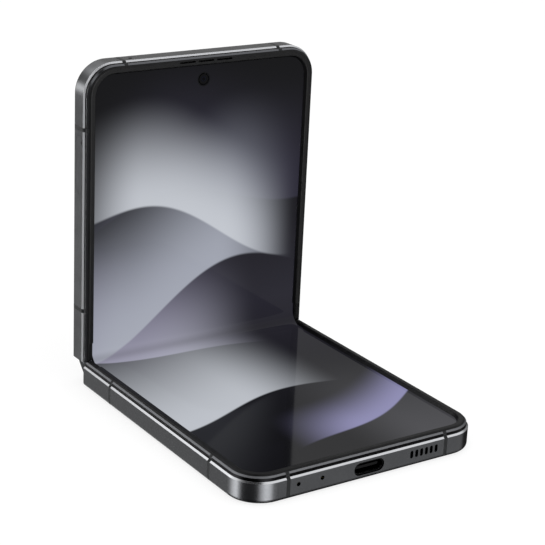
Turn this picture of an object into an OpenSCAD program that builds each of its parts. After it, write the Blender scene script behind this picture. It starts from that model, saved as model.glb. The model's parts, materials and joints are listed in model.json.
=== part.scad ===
// Clamshell foldable phone, opened to a right angle: the lower half lies on its back glass and the
// upper half stands behind it, both geared to one spine that turns half as far as the phone opens.
//
// Each half is drawn in its own half frame: X across the phone, Y away from the fold's centre plane
// towards the free end, Z from the back face towards the screen. The spine is drawn in the spine
// frame: X along the fold, Y from the lower half towards the upper one, Z towards the screen, with
// its origin midway between the two pivot axes.

/* [Overall size] */
// Width across the phone
body_w = 71.9; // [64:0.1:84]
// Length of one half, from its end face at the fold to its free end
half_l = 82.6; // [76:0.1:98]
// Thickness of one half, from the back glass to the top of the raised bezel
body_t = 7.5; // [7.4:0.1:8.4]
// Radius of the two outer corners of each half
corner_r = 8.6; // [6:0.1:11]

/* [Frame] */
// Thickness of the side wall
wall_t = 1.6; // [1.4:0.1:2]
// Radius where the side wall turns under to the back
back_round = 1.1; // [0.4:0.1:1.1]
// Height of the flat side wall above the back face
side_h = 5.5; // [5.2:0.05:5.6]
// Width of the polished chamfer above the side wall
chamfer_w = 0.42; // [0.2:0.02:0.5]
// Distance from the outside face to the inner ridge
ridge_in = 0.55; // [0.5:0.05:0.7]
// Height of the inner ridge above the back face
ridge_h = 7.12; // [6.9:0.02:7.2]
// Distance from the outside face to the inner side of the ridge
ridge_out = 1.0; // [0.9:0.05:1.2]
// Thickness of the mid plate that carries the display
plate_t = 0.75; // [0.5:0.05:0.9]
// Width of each antenna band
band_w = 1.1; // [0.8:0.1:1.6]
// Distance from the end face at the fold to the first side band
band_near = 14.8; // [12.8:0.1:17]
// Distance from the end face at the fold to the second side band
band_far = 65.2; // [64.2:0.1:66]
// Distance from the centre line to each band of the free end
band_end = 24.1; // [23:0.1:25.4]

/* [Display] */
// Height of the screen surface above the back face
screen_h = 6.45; // [6.4:0.01:6.6]
// Thickness of the display stack
screen_t = 0.9; // [0.7:0.05:1]
// Distance from the outside face to the display's edge
screen_in = 2.65; // [2.6:0.05:3]
// Distance from the fold's centre plane at which the display is glued down
fold_reach = 7; // [6.8:0.1:9]
// Distance from the outside face to the bezel's outer edge at its top
bezel_out = 1.52; // [1.2:0.02:1.8]
// Distance from the outside face to the bezel's inner edge at its top
bezel_in = 2.6; // [2.2:0.05:2.7]
// Distance from the outside face to the bezel's foot on the screen
bezel_foot = 3.1; // [3:0.05:3.2]
// Distance from the fold's centre plane at which the bezel gives way to the soft cap
bezel_start = 6.05; // [5.8:0.05:6.5]
// Height of the soft caps above the back face
cap_h = 7.35; // [7.1:0.05:7.4]
// Radius of the front camera's hole in the display
punch_r = 1.7; // [1.6:0.1:2.4]
// Distance from the free end to the front camera
punch_from_end = 6.9; // [6.2:0.1:8]

/* [Hinge] */
// Distance from the fold's centre plane to each pivot axis when the phone is flat
axis_off = 1.9; // [1.85:0.01:2]
// Gap that is left between the two bezels when the phone is closed
closed_gap = 0.1; // [0.04:0.01:0.2]
// Distance from the fold's centre plane to each frame's end face when the phone is flat
end_gap = 0.45; // [0.4:0.05:0.55]
// Radius of the spine's round shoulders about the pivot axes
spine_r = 4.4; // [4.3:0.05:4.5]
// Wall thickness of the spine cover
spine_t = 0.5; // [0.4:0.05:0.6]
// Depth of the spine cover's rim below the pivot axes
spine_rim = 1.0; // [0.95:0.05:1.1]
// Running gap between the spine and the hollow of each half
spine_gap = 0.2; // [0.15:0.01:0.25]
// Thickness of each spine end cap
end_cap_t = 0.6; // [0.5:0.05:0.6]
// Radius of the hinge pins
pin_r = 0.5; // [0.4:0.05:0.55]
// Radius of the pivot ear round each hinge pin
ear_r = 1.1; // [1:0.05:1.15]
// Module of the sync gears
gear_module = 0.2; // [0.19:0.005:0.21]
// Teeth of a full circle of the arm's gear sector
sector_teeth = 16; // [16:1:16]
// Teeth of each sync pinion
pinion_teeth = 10; // [10:1:10]
// Face width of the gears
gear_w = 0.6; // [0.5:0.05:0.6]
// Radius of the pinion's journals
journal_r = 0.35; // [0.3:0.05:0.4]
// Inner radius of the arc rail about the pivot axis
rail_r = 2.75; // [2.7:0.05:2.8]
// Radial thickness of the arc rail
rail_t = 0.6; // [0.5:0.05:0.6]
// Width of each arc rail
rail_w = 2.6; // [2:0.1:3]
// Distance from the centre line to the lower half's arc rail
rail_x = 24; // [20:0.5:24]

/* [Back] */
// Thickness of the back glass and of the cover glass
glass_t = 0.6; // [0.5:0.05:0.7]
// Distance from the outside face to the edge of the back glass
glass_in = 1.2; // [1.15:0.05:1.3]
// Distance from the fold's centre plane to the edge of the back glass
glass_start = 1.6; // [1.5:0.1:3]
// Radius of each rear camera's ring
ring_r = 6.4; // [5.8:0.1:6.5]
// How far the camera rings stand out of the cover glass
ring_h = 1.0; // [0.6:0.1:1.4]
// Distance from the free end to the rear cameras
camera_from_end = 12; // [10.5:0.5:14]
// Distance from the centre line to the outer rear camera
camera_x = 24.5; // [23.5:0.5:26]
// Distance between the two rear cameras
camera_pitch = 13.5; // [13:0.5:15]

/* [Ports] */
// Height of the USB-C receptacle's centre above the back face
port_h = 3.15; // [3:0.05:3.2]
// Outer width of the receptacle shell
port_w = 8.94; // [8.94:0.01:9.1]
// Outer height of the receptacle shell
port_t = 3.26; // [3.2:0.01:3.3]
// Wall thickness of the receptacle shell
port_shell = 0.3; // [0.2:0.05:0.35]
// Length of the receptacle shell
port_l = 7.3; // [6.5:0.1:9]
// Number of loudspeaker slots
slot_count = 6; // [3:1:6]
// Distance between two loudspeaker slots
slot_pitch = 1.56; // [1.4:0.02:1.8]
// Distance from the centre line to the first loudspeaker slot
slot_x = 13.25; // [12.5:0.05:14]
// Width of a loudspeaker slot
slot_w = 0.95; // [0.6:0.05:1.1]
// Height of a loudspeaker slot
slot_h = 2.1; // [1.6:0.1:2.4]
// Radius of the microphone holes
mic_r = 0.56; // [0.4:0.02:0.6]
// Distances from the centre line to the two bottom microphones
mic_x = [-21.15, -14.15];

/* [Keys and tray] */
// Height of the keys and of the tray's carrier plate above the back face
key_h = 3.0; // [2.9:0.05:3.1]
// Height of each key across the phone's thickness
key_t = 2.4; // [2:0.1:2.6]
// How far the keys stand out of the side wall
key_out = 0.3; // [0.2:0.05:0.5]
// Clearance round a key, the tray and the receptacle in the wall
key_gap = 0.1; // [0.08:0.01:0.15]
// Length of the power key
power_l = 14; // [12:0.5:15]
// Distance from the fold's centre plane to the middle of the power key
power_pos = 34; // [32:0.5:36]
// Length of the volume rocker
volume_l = 18; // [15:0.5:19]
// Distance from the fold's centre plane to the middle of the volume rocker
volume_pos = 54; // [53:0.5:55]
// Length of the SIM tray's outer face
tray_l = 15.8; // [14.5:0.1:16]
// Height of the SIM tray's outer face across the phone's thickness
tray_face = 3.4; // [3:0.1:3.4]
// Distance from the fold's centre plane to the middle of the SIM tray
tray_pos = 55.8; // [55:0.1:56.4]
// Depth of the SIM tray into the phone
tray_depth = 18; // [17.5:0.1:20]
// Thickness of the SIM tray's carrier plate
tray_t = 0.8; // [0.7:0.05:0.9]

/* [Inside] */
// Clearance between a battery and the glass or plate beside it
inner_gap = 0.15; // [0.1:0.01:0.25]
// Thickness of the circuit boards
board_t = 0.8; // [0.6:0.05:0.9]
// Distance from the fold's centre plane to the far edge of the hinge beam
beam_end = 12; // [11.5:0.1:13]

/* [Hidden] */
$fn = 48;

// A little extra length that carries a cut past the face it opens
cut = 0.5;
half_w = body_w / 2;
free_end = end_gap + half_l;

// Pivot axes: each lies so deep that its bezel, turned by 90 degrees, stops just short of the other
axis_h = body_t - (axis_off - closed_gap / 2);
cavity_r = spine_r + spine_gap;
beam_start = axis_off + cavity_r + 0.2;

// At rest the spine leans by half of the fold angle and the upper half stands upright
lean = 45;
mid_y = -axis_off + axis_off * cos(lean);
mid_h = axis_h + axis_off * sin(lean);
upper_axis_y = -axis_off + 2 * axis_off * cos(lean);
upper_axis_h = axis_h + 2 * axis_off * sin(lean);
back_y = upper_axis_y + axis_h + ring_h;
centre_y = (free_end - back_y) / 2;

// Frame heights and insets
step_h = side_h + chamfer_w;
screen_under = screen_h - screen_t;
plate_under = screen_under - plate_t;
ledge_h = screen_h - 0.5;
ledge_in = screen_in - 0.15;
ridge_bevel = ridge_out - ridge_in - 0.05;
back_edge_h = 0.1;
back_edge_r = min(back_round, glass_in - 0.05);
glass_seat = 1.0;
glass_seat_t = 0.6;
inner_w = half_w - wall_t;

// Hinge module positions along the fold
side_in = ridge_out;
end_cap_x = half_w - side_in - 0.15 - end_cap_t;
leaf_x = end_cap_x - 0.1 - gear_w;
gear_plate_t = 1.0;
gear_plate_x = leaf_x - 0.2 - gear_plate_t;
screen_w = body_w - 2 * screen_in;
wing_t = 0.35;
wing_start = 2.3;
foot_x = rail_x - 2;
foot_start = 7.6;
foot_end = beam_end - 0.2;
foot_h = 4.4;
foot_top = screen_under - wing_t;
leaf_top = axis_h + 0.25;
leaf_under = axis_h - 0.75;
upper_rail_x = rail_x + rail_w + 0.8;
rail_gap = 0.05;
block_x0 = rail_x - 3.4;
block_x1 = upper_rail_x + rail_w + 0.8;
block_top = 1.3;
spine_fit = 0.05;
run_gap = 0.04;
seat_gap = 0.02;
glass_fit = 0.05;
joint_lap = 0.1;
leaf_room = 0.15;
foot_room = 0.2;
beam_floor = 0.5;
band_depth = wall_t - 0.05;
cap_sweep_in = 1.45;
cap_sweep_out = axis_off - closed_gap;

// Gears: the pinions hang below the two axes so that each meshes with its sector and with the other
sector_r = gear_module * sector_teeth / 2;
pinion_r = gear_module * pinion_teeth / 2;
pinion_depth = sqrt(pow(sector_r + pinion_r, 2) - pow(axis_off - pinion_r, 2));
mesh_angle = atan2(pinion_depth, axis_off - pinion_r);
tooth_up = 0.8 * gear_module;
tooth_down = 1.05 * gear_module;
backlash = 0.05;
pressure = 20;
tooth_root = 0.05;
sector_span = 3;
sector_half = 75;
rail_turn = -78;
rail_span = 67;
rail_neck = 0.4;

// Fold strip: one arc that lies flat again when the phone is opened out
fold_r = axis_off * (1 + sqrt(2)) - (screen_h - axis_h);
fold_y = upper_axis_y - (screen_h - axis_h);

// Screws
screw_r = 0.6;
screw_head_r = 1.0;
screw_head_h = 0.3;
screw_l = 1.6;
screw_fit = 0.05;
arm_screw_y = 10;
arm_screw_x = [foot_x + 2.6, foot_x + 9.4];
block_screw_x = block_x0 + 0.5 + screw_head_r;
block_screw_y = 1.25;
block_floor = 0.8;
washer_t = 0.25;
washer_pitch = 0.29;
washer_stack = 0.9;

// Cameras, flash and cover display
camera_y = free_end - camera_from_end;
camera_xs = [camera_x, camera_x - camera_pitch];
camera_body = 10;
camera_base = glass_t + 1.4;
barrel_r = 4.2;
ring_lap = 0.5;
ring_fit = 0.05;
ring_ease = 0.3;
lens_seat_r = ring_r - 1.1;
lens_seat_h = 0.15;
flash_r = 1.45;
flash_fit = 0.05;
flash_x = camera_x - camera_pitch - ring_r - 3.2;
punch_y = free_end - punch_from_end;
front_body = 6.5;
front_t = 2.35;
cover_display_t = 0.7;

// Boards, batteries and what stands on them
board_under = plate_under - 0.1 - board_t;
board_gap = 0.3;
lower_board_start = 62;
lower_board_right = 8;
main_board_start = 44;
battery_start = beam_end + 1;
battery_round = 2;
lower_battery_end = 60;
upper_battery_end = 42;
coil_r = 20;
coil_w = 8;
coil_y = 37;
coil_t = 0.25;
ferrite_t = 0.18;
coil_room = 0.5;
// Left edge, near edge, width and length of each shield lid
shield_boxes = [[-13, 46, 43, 14], [-30, 65, 9, 12]];

// Openings of the free end
port_end = free_end - 0.25;
port_back = 1;
tongue_w = 6.69;
tongue_t = 0.7;
slot_line = port_h + 0.3;
mic_line = port_h + 0.45;
mic_l = 3;
mic_w = 2;
mic_t = 1.18;
speaker_mid = slot_x + (slot_count - 1) * slot_pitch / 2;
speaker_start = 64.2;
earpiece_pitch = 5.75;

// Keys and SIM tray
flange_t = 0.6;
key_travel = 0.3;
flange_x = half_w - wall_t - key_travel - flange_t;
carrier_l = tray_l - 4;
carrier_y = tray_pos - tray_l / 2 + 1.2;
tray_face_h = side_h - 0.2 - tray_face / 2;
eject_r = 0.42;
eject_h = side_h - 0.75;
eject_from_end = 1.7;

// Places children drawn in the half frame as the lower half, flat on its back
module lower_place() {
    translate([0, centre_y, 0]) mirror([0, 1, 0]) children();
}

// Places children drawn in the half frame as the upper half, upright behind the lower one
module upper_place() {
    translate([0, centre_y + upper_axis_y, upper_axis_h])
        rotate([90, 0, 0])
            translate([0, -axis_off, -axis_h])
                children();
}

// Places children drawn in the spine frame
module spine_place() {
    translate([0, centre_y + mid_y, mid_h]) rotate([lean, 0, 0]) children();
}

// Extrudes a profile drawn in the Y and Z directions from one X position to another
module x_prism(x0, x1) {
    translate([x0, 0, 0]) rotate([90, 0, 90]) linear_extrude(x1 - x0) children();
}

// Extrudes a profile drawn in the X and Z directions from one Y position to another
module y_prism(y0, y1) {
    translate([0, y1, 0]) rotate([90, 0, 0]) linear_extrude(y1 - y0) children();
}

// The same piece at the left and at the right end of the fold
module both_ends() {
    for (side = [0, 1]) mirror([side, 0, 0]) children();
}

// A slot with round ends, drawn round the origin
module slot_2d(length, width) {
    straight_l = length - width;
    union() {
        square([straight_l, width], center = true);
        for (side = [-1, 1]) translate([side * straight_l / 2, 0]) circle(d = width);
    }
}

// A rectangle with round corners, drawn round the origin
module round_rect(length, width, radius) {
    union() {
        square([length, width - 2 * radius], center = true);
        square([length - 2 * radius, width], center = true);
        for (sx = [-1, 1], sy = [-1, 1])
            translate([sx * (length / 2 - radius), sy * (width / 2 - radius)]) circle(radius);
    }
}

// Outline of a half, drawn in by a distance on its three outer sides and cut off square at the fold
module half_outline(inset, start) {
    r = corner_r - inset;
    straight = free_end - corner_r - start;
    union() {
        translate([-half_w + inset, start]) square([body_w - 2 * inset, straight]);
        translate([-half_w + corner_r, start])
            square([body_w - 2 * corner_r, free_end - inset - start]);
        for (side = [-1, 1])
            translate([side * (half_w - corner_r), free_end - corner_r]) circle(r);
    }
}

// Sweeps a profile along the two sides and round the free end of a half. The profile's X is the
// distance in from the outside face and its Y the height above the back face.
module rim_sweep(start) {
    turn_y = free_end - corner_r;
    union() {
        translate([half_w, 0, 0]) y_prism(start, turn_y) mirror([1, 0]) children();
        translate([-half_w, 0, 0]) y_prism(start, turn_y) children();
        translate([0, free_end, 0])
            x_prism(-half_w + corner_r, half_w - corner_r) mirror([1, 0]) children();
        for (side = [-1, 1])
            translate([side * (half_w - corner_r), turn_y, 0])
                rotate([0, 0, side > 0 ? 0 : 90])
                    rotate_extrude(angle = 90) translate([corner_r, 0]) mirror([1, 0]) children();
    }
}

// Profile of the frame's rim: rounded back edge, flat side, chamfer, step and bevelled inner ridge
module frame_profile() {
    arc = [for (i = [0:5]) let (a = i * 18)
        [back_edge_r * (1 - sin(a)), back_edge_h + back_edge_r * (1 - cos(a))]];
    polygon(concat(
        [[glass_in, back_edge_h]],
        arc,
        [
            [0, side_h],
            [chamfer_w, step_h],
            [ridge_in, step_h],
            [ridge_in, ridge_h - ridge_bevel],
            [ridge_in + ridge_bevel, ridge_h],
            [ridge_out, ridge_h],
            [ridge_out, ledge_h],
            [ledge_in, ledge_h],
            [ledge_in, plate_under],
            [wall_t, plate_under],
            [wall_t, glass_t + glass_seat_t],
            [glass_in + glass_seat, glass_t + glass_seat_t],
            [glass_in + glass_seat, glass_t],
            [glass_in, glass_t]
        ]
    ));
}

// Boxes that mark where the antenna bands cross the rim
module band_boxes() {
    for (side = [-1, 1]) {
        for (y = [band_near, band_far])
            translate([side > 0 ? half_w - band_depth : -half_w - cut, end_gap + y - band_w / 2, -cut])
                cube([band_depth + cut, band_w, body_t + cut]);
        translate([side * band_end - band_w / 2, free_end - band_depth, -cut])
            cube([band_w, band_depth + cut, body_t + cut]);
    }
}

// Outer part of the rim that the bands run through, without the ledges inside it
module band_profile() {
    intersection() {
        frame_profile();
        translate([-cut, -cut]) square([band_depth + cut, body_t + cut]);
    }
}

module antenna_bands() {
    intersection() {
        rim_sweep(end_gap) band_profile();
        band_boxes();
    }
}

// Hollow that the spine turns in, with the open space above the pivot axis
module spine_hollow() {
    inner = half_w - side_in;
    x_prism(-inner, inner) {
        union() {
            translate([axis_off, axis_h]) circle(cavity_r);
            translate([-cut, axis_h - cavity_r]) square([axis_off + cut, cavity_r]);
            translate([-cut, leaf_under - leaf_room]) square([beam_start + cut, body_t]);
        }
    }
}

// Room beyond the rim's rounded end: what is left turns past the other half without touching it
module fold_corner() {
    x_prism(-half_w - cut, half_w + cut)
        difference() {
            translate([-cut, axis_h]) square([axis_off + cut, body_t]);
            translate([axis_off, axis_h]) circle(cap_sweep_out);
        }
}

// Pockets in the hinge beam that the feet of the arms are screwed into
module foot_pockets() {
    inner = half_w - side_in;
    both_ends()
        translate([foot_x - foot_room, beam_start - cut, foot_h])
            cube([inner - foot_x + foot_room, foot_end + foot_room / 2 - beam_start + cut, body_t]);
}

// Tapped holes for the arm screws
module arm_screw_holes() {
    both_ends()
        for (x = arm_screw_x)
            translate([x, arm_screw_y, foot_top - screw_l - screw_fit])
                cylinder(r = screw_r + screw_fit, h = screw_l + cut);
}

// Frame of one half: rim, mid plate and the beam across it that carries the hinge arms
module half_frame() {
    beam_w = 2 * (half_w - side_in - 0.1);
    lip_w = 2 * (half_w - glass_in);
    hollow_wall = 1.1;
    hollow_w = beam_w - 2 * 2.1;
    hollow_l = beam_end - beam_start - 2 * hollow_wall;
    difference() {
        union() {
            rim_sweep(end_gap) frame_profile();
            translate([0, 0, plate_under])
                linear_extrude(plate_t) half_outline(wall_t, beam_end);
            translate([-beam_w / 2, end_gap, glass_t])
                cube([beam_w, beam_end + joint_lap - end_gap, foot_top - glass_t]);
            translate([-lip_w / 2, end_gap, back_edge_h])
                cube([lip_w, glass_start - glass_fit - end_gap, glass_t + joint_lap - back_edge_h]);
        }
        spine_hollow();
        fold_corner();
        foot_pockets();
        arm_screw_holes();
        antenna_bands();
        translate([-hollow_w / 2, beam_start + hollow_wall, glass_t + beam_floor])
            cube([hollow_w, hollow_l, foot_h - glass_t - beam_floor - hollow_wall]);
    }
}

module lower_frame() {
    color("#4a4b4d")
        lower_place()
            difference() {
                half_frame();
                port_opening();
                speaker_slots();
                microphone_holes();
            }
}

module upper_frame() {
    color("#4a4b4d")
        upper_place()
            difference() {
                half_frame();
                key_opening(power_pos, power_l);
                key_opening(volume_pos, volume_l);
                tray_opening();
                top_microphone_hole();
                camera_openings();
            }
}

module lower_antenna_bands() {
    color("#3e3f41") lower_place() antenna_bands();
}

module upper_antenna_bands() {
    color("#3e3f41") upper_place() antenna_bands();
}

// Profile of the raised bezel: slope up from the ridge, flat top, slope down to the screen
module bezel_profile() {
    foot_in = screen_in - 0.1;
    lip_t = 0.03;
    outer = ridge_out + seat_gap;
    ease = 0.1;
    polygon([
        [outer, ledge_h + seat_gap], [outer, ridge_h],
        [bezel_out - ease, body_t - 0.7 * ease], [bezel_out + ease, body_t],
        [bezel_in - ease, body_t], [bezel_in + ease / 2, body_t - 0.7 * ease],
        [bezel_foot, screen_h + lip_t], [bezel_foot, screen_h + seat_gap],
        [foot_in, screen_h + seat_gap], [foot_in, ledge_h + seat_gap]
    ]);
}

module lower_bezel() {
    color("#242424") lower_place() rim_sweep(bezel_start) bezel_profile();
}

// Three sound slots side by side in the upper bezel
module earpiece_slots() {
    slot_y = free_end - bezel_out - 0.13;
    for (i = [-1, 0, 1])
        translate([i * earpiece_pitch, slot_y, ledge_h + 0.3])
            linear_extrude(body_t) slot_2d(earpiece_pitch - 0.85, 0.5);
}

module upper_bezel() {
    color("#242424")
        upper_place()
            difference() {
                rim_sweep(bezel_start) bezel_profile();
                earpiece_slots();
            }
}

// Soft cap between the bezel's end and the fold, rounded about the pivot axis
module hinge_cap() {
    foot = ledge_h + 0.05;
    inner = screen_in - 0.05;
    corner = 0.3;
    leaf_roof = axis_h + cap_sweep_in - 0.05;
    difference() {
        intersection() {
            translate([half_w, 0, 0])
                y_prism(0, bezel_start - 0.02)
                    mirror([1, 0])
                        polygon([
                            [ridge_out, foot], [ridge_out, cap_h - corner],
                            [ridge_out + corner, cap_h], [inner - corner, cap_h],
                            [inner, cap_h - corner], [inner, foot]
                        ]);
            x_prism(0, half_w)
                union() {
                    translate([axis_off, axis_h]) circle(cap_sweep_out);
                    translate([axis_off, axis_h]) square([bezel_start, body_t]);
                }
        }
        x_prism(end_cap_x - 0.05, half_w)
            translate([axis_off, axis_h]) circle(cap_sweep_in);
        x_prism(leaf_x - 0.1, end_cap_x + 0.01)
            union() {
                translate([axis_off, axis_h]) circle(ear_r + 0.1);
                translate([-cut, foot - cut]) square([axis_off + cut, leaf_roof - foot + cut]);
            }
        x_prism(0, leaf_x + 0.01)
            translate([axis_off, axis_h]) circle(ear_r + 0.1);
    }
}

module lower_hinge_caps() {
    color("#141414") lower_place() both_ends() hinge_cap();
}

module upper_hinge_caps() {
    color("#141414") upper_place() both_ends() hinge_cap();
}

// Back panel with its edge eased
module back_panel() {
    ease = 0.15;
    union() {
        translate([0, 0, ease])
            linear_extrude(glass_t - ease) half_outline(glass_in + glass_fit, glass_start);
        linear_extrude(ease) half_outline(glass_in + glass_fit + ease, glass_start + ease);
    }
}

module lower_back_glass() {
    color("#3a3b3e") lower_place() back_panel();
}

module cover_glass() {
    color("#151618")
        upper_place()
            difference() {
                back_panel();
                for (x = camera_xs)
                    translate([x, camera_y, -cut])
                        cylinder(r = ring_r - ring_lap + ring_fit, h = glass_t + 2 * cut);
                translate([flash_x, camera_y, -cut])
                    cylinder(r = flash_r + flash_fit, h = glass_t + 2 * cut);
            }
}

// One tooth standing on the root circle, centred on the X axis, with involute flanks
module gear_tooth(teeth) {
    pitch_r = gear_module * teeth / 2;
    base_r = pitch_r * cos(pressure);
    root_r = pitch_r - tooth_down;
    tip_r = pitch_r + tooth_up;
    flank_r = [for (i = [0:4]) max(base_r, root_r) + i * (tip_r - max(base_r, root_r)) / 4];
    half_pitch = 90 / teeth - backlash / 2 / pitch_r * 180 / PI;
    half_at = [for (r = flank_r) half_pitch + involute(pitch_r, base_r) - involute(r, base_r)];
    polygon(concat(
        [[root_r - tooth_root, -root_r * sin(half_at[0])]],
        [for (i = [0:4]) flank_r[i] * [cos(half_at[i]), -sin(half_at[i])]],
        [for (i = [4:-1:0]) flank_r[i] * [cos(half_at[i]), sin(half_at[i])]],
        [[root_r - tooth_root, root_r * sin(half_at[0])]]
    ));
}

function involute(r, base_r) = let (a = acos(min(1, base_r / r))) tan(a) * 180 / PI - a;

// Arm of the lower half (shift 0) or the upper half (shift 0.5): the ear on the hinge pin, the gear
// sector round it, the foot under the display and the arc rail that runs in the hinge block
module hinge_arm(rail_at, shift) {
    rest = -180 + mesh_angle - lean;
    pitch = 360 / sector_teeth;
    root_r = sector_r - tooth_down;
    rail_mid = rail_r + rail_t / 2;
    difference() {
        union() {
            x_prism(leaf_x, leaf_x + gear_w)
                union() {
                    translate([axis_off, axis_h]) {
                        circle(ear_r);
                        intersection() {
                            circle(root_r);
                            rotate(rest) sector_wedge(sector_half);
                        }
                        for (i = [-sector_span:sector_span - 1 + 2 * shift])
                            rotate(rest + (i + 0.5 - shift) * pitch) gear_tooth(sector_teeth);
                    }
                    translate([axis_off, leaf_under])
                        square([foot_start + 1.2 - axis_off, leaf_top - leaf_under]);
                }
            translate([foot_x, foot_start, foot_h])
                cube([leaf_x + gear_w - foot_x, foot_end - foot_start, foot_top - foot_h]);
            x_prism(rail_at, rail_at + rail_w)
                union() {
                    translate([axis_off, axis_h])
                        intersection() {
                            difference() {
                                circle(rail_r + rail_t);
                                circle(rail_r);
                            }
                            rotate(rail_turn) sector_wedge(rail_span);
                        }
                    translate([axis_off + rail_mid, foot_top - 0.05 - rail_neck])
                        square([foot_start + joint_lap - axis_off - rail_mid, rail_neck]);
                }
        }
        translate([leaf_x - cut, axis_off, axis_h])
            rotate([0, 90, 0]) cylinder(r = pin_r + run_gap, h = gear_w + 2 * cut);
        for (x = arm_screw_x)
            translate([x, arm_screw_y, foot_h - cut]) {
                cylinder(r = screw_r + screw_fit, h = foot_top);
                translate([0, 0, foot_top - screw_head_h - foot_h + cut])
                    cylinder(r = screw_head_r + screw_fit, h = screw_l);
            }
    }
}

// A wedge of the plane about the X axis, up to the given angle on both sides
module sector_wedge(half_angle) {
    far = 8;
    steps = 4;
    polygon(concat(
        [[0, 0]],
        [for (i = [-steps:steps]) far * [cos(i * half_angle / steps), sin(i * half_angle / steps)]]
    ));
}

module lower_arms() {
    color("#8d8f92") lower_place() both_ends() hinge_arm(rail_x, 0);
}

module upper_arms() {
    color("#8d8f92") upper_place() both_ends() hinge_arm(upper_rail_x, 0.5);
}

// Flat-headed screws that hold the feet of the arms to the hinge beam
module arm_screws() {
    both_ends()
        for (x = arm_screw_x)
            translate([x, arm_screw_y, 0]) {
                translate([0, 0, foot_top - screw_head_h])
                    cylinder(r = screw_head_r, h = screw_head_h - seat_gap);
                translate([0, 0, foot_top - screw_l])
                    cylinder(r = screw_r, h = screw_l - screw_head_h + joint_lap);
            }
}

module lower_arm_screws() {
    color("#b8b9bb") lower_place() arm_screws();
}

module upper_arm_screws() {
    color("#b8b9bb") upper_place() arm_screws();
}

// Thin steel plate that backs the display beside the fold
module wing_plate() {
    translate([-screen_w / 2, wing_start, foot_top])
        cube([screen_w, beam_end - wing_start - 0.05, wing_t - seat_gap]);
}

module lower_wing_plate() {
    color("#9a9b9d") lower_place() wing_plate();
}

module upper_wing_plate() {
    color("#9a9b9d") upper_place() wing_plate();
}

// Flat part of the display on one half
module display_half() {
    translate([0, 0, screen_under]) linear_extrude(screen_t) half_outline(screen_in, fold_reach);
}

module display_lower() {
    color("#2b2c33") lower_place() display_half();
}

module display_upper() {
    color("#2b2c33")
        upper_place()
            difference() {
                display_half();
                translate([0, punch_y, screen_under - cut])
                    cylinder(r = punch_r, h = screen_t + 2 * cut);
            }
}

// Folding part of the display: two flats joined by one arc
module display_fold() {
    flat_end = fold_reach - 0.01;
    arc_h = screen_h + fold_r;
    color("#2b2c33")
        translate([0, centre_y, 0])
            x_prism(-screen_w / 2, screen_w / 2)
                union() {
                    translate([-flat_end, screen_under])
                        square([flat_end + fold_y - fold_r, screen_t]);
                    translate([fold_y, arc_h])
                        square([screen_t, upper_axis_h + flat_end - axis_off - arc_h]);
                    translate([fold_y - fold_r, arc_h])
                        intersection() {
                            difference() {
                                circle(fold_r + screen_t);
                                circle(fold_r);
                            }
                            translate([0, -fold_r - screen_t])
                                square(fold_r + screen_t);
                        }
                }
}

// Spine: section of the inside of the cover, down from the rim
module spine_section(radius, top) {
    intersection() {
        union() {
            for (side = [-1, 1]) translate([side * axis_off, 0]) circle(radius);
            square([2 * axis_off, 2 * radius], center = true);
        }
        translate([-axis_off - radius - cut, -radius - cut])
            square([2 * (axis_off + radius + cut), radius + cut - top]);
    }
}

module spine_cover() {
    color("#5a5b5e")
        spine_place()
            x_prism(-end_cap_x + 0.05, end_cap_x - 0.05)
                difference() {
                    spine_section(spine_r, spine_rim);
                    spine_section(spine_r - spine_t, spine_rim - 2 * cut);
                }
}

// End plate of the spine, with an ear up to each pivot axis that clears the turning soft caps
module end_cap() {
    ear_top_r = cap_sweep_in - 0.15;
    neck_in = 0.2;
    neck_l = 3;
    difference() {
        x_prism(end_cap_x, end_cap_x + end_cap_t)
            difference() {
                union() {
                    difference() {
                        spine_section(spine_r, spine_rim);
                        for (side = [-1, 1])
                            translate([side * axis_off, 0]) circle(cap_sweep_out + 0.15);
                    }
                    for (side = [-1, 1])
                        translate([side * axis_off, 0]) {
                            circle(ear_top_r);
                            translate([side > 0 ? -neck_in : -ear_top_r, -neck_l])
                                square([ear_top_r + neck_in, neck_l]);
                        }
                }
                for (side = [-1, 1]) {
                    translate([side * axis_off, 0]) circle(pin_r + seat_gap);
                    translate([side * pinion_r, -pinion_depth]) circle(journal_r + run_gap);
                }
            }
    }
}

module spine_end_caps() {
    color("#77787b") spine_place() both_ends() end_cap();
}

// Hinge block: fills the cover's section and holds the arc grooves of both rails
module hinge_block() {
    groove_w = rail_w + 2 * rail_gap;
    difference() {
        x_prism(block_x0, block_x1) spine_section(spine_r - spine_t - spine_fit, block_top);
        translate([rail_x - rail_gap, -axis_off, 0]) arc_groove(groove_w);
        translate([upper_rail_x - rail_gap, axis_off, 0]) arc_groove(groove_w);
        for (side = [-1, 1])
            translate([block_screw_x, side * block_screw_y, -spine_r + spine_t]) {
                cylinder(r = screw_r + screw_fit, h = spine_r);
                translate([0, 0, block_floor]) cylinder(r = screw_head_r + screw_fit, h = spine_r);
            }
    }
}

// Ring-shaped room for an arc rail about one pivot axis
module arc_groove(width) {
    x_prism(0, width)
        difference() {
            circle(rail_r + rail_t + rail_gap);
            circle(rail_r - rail_gap);
        }
}

module hinge_blocks() {
    color("#6f7174") spine_place() both_ends() hinge_block();
}

// Screws that clamp the hinge blocks to the spine cover
module block_screws() {
    floor_h = -spine_r + spine_t;
    color("#b8b9bb")
        spine_place()
            both_ends()
                for (side = [-1, 1])
                    translate([block_screw_x, side * block_screw_y, floor_h]) {
                        translate([0, 0, seat_gap]) cylinder(r = screw_r, h = block_floor + joint_lap);
                        translate([0, 0, block_floor + seat_gap])
                            cylinder(r = screw_head_r, h = 0.4);
                    }
}

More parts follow.
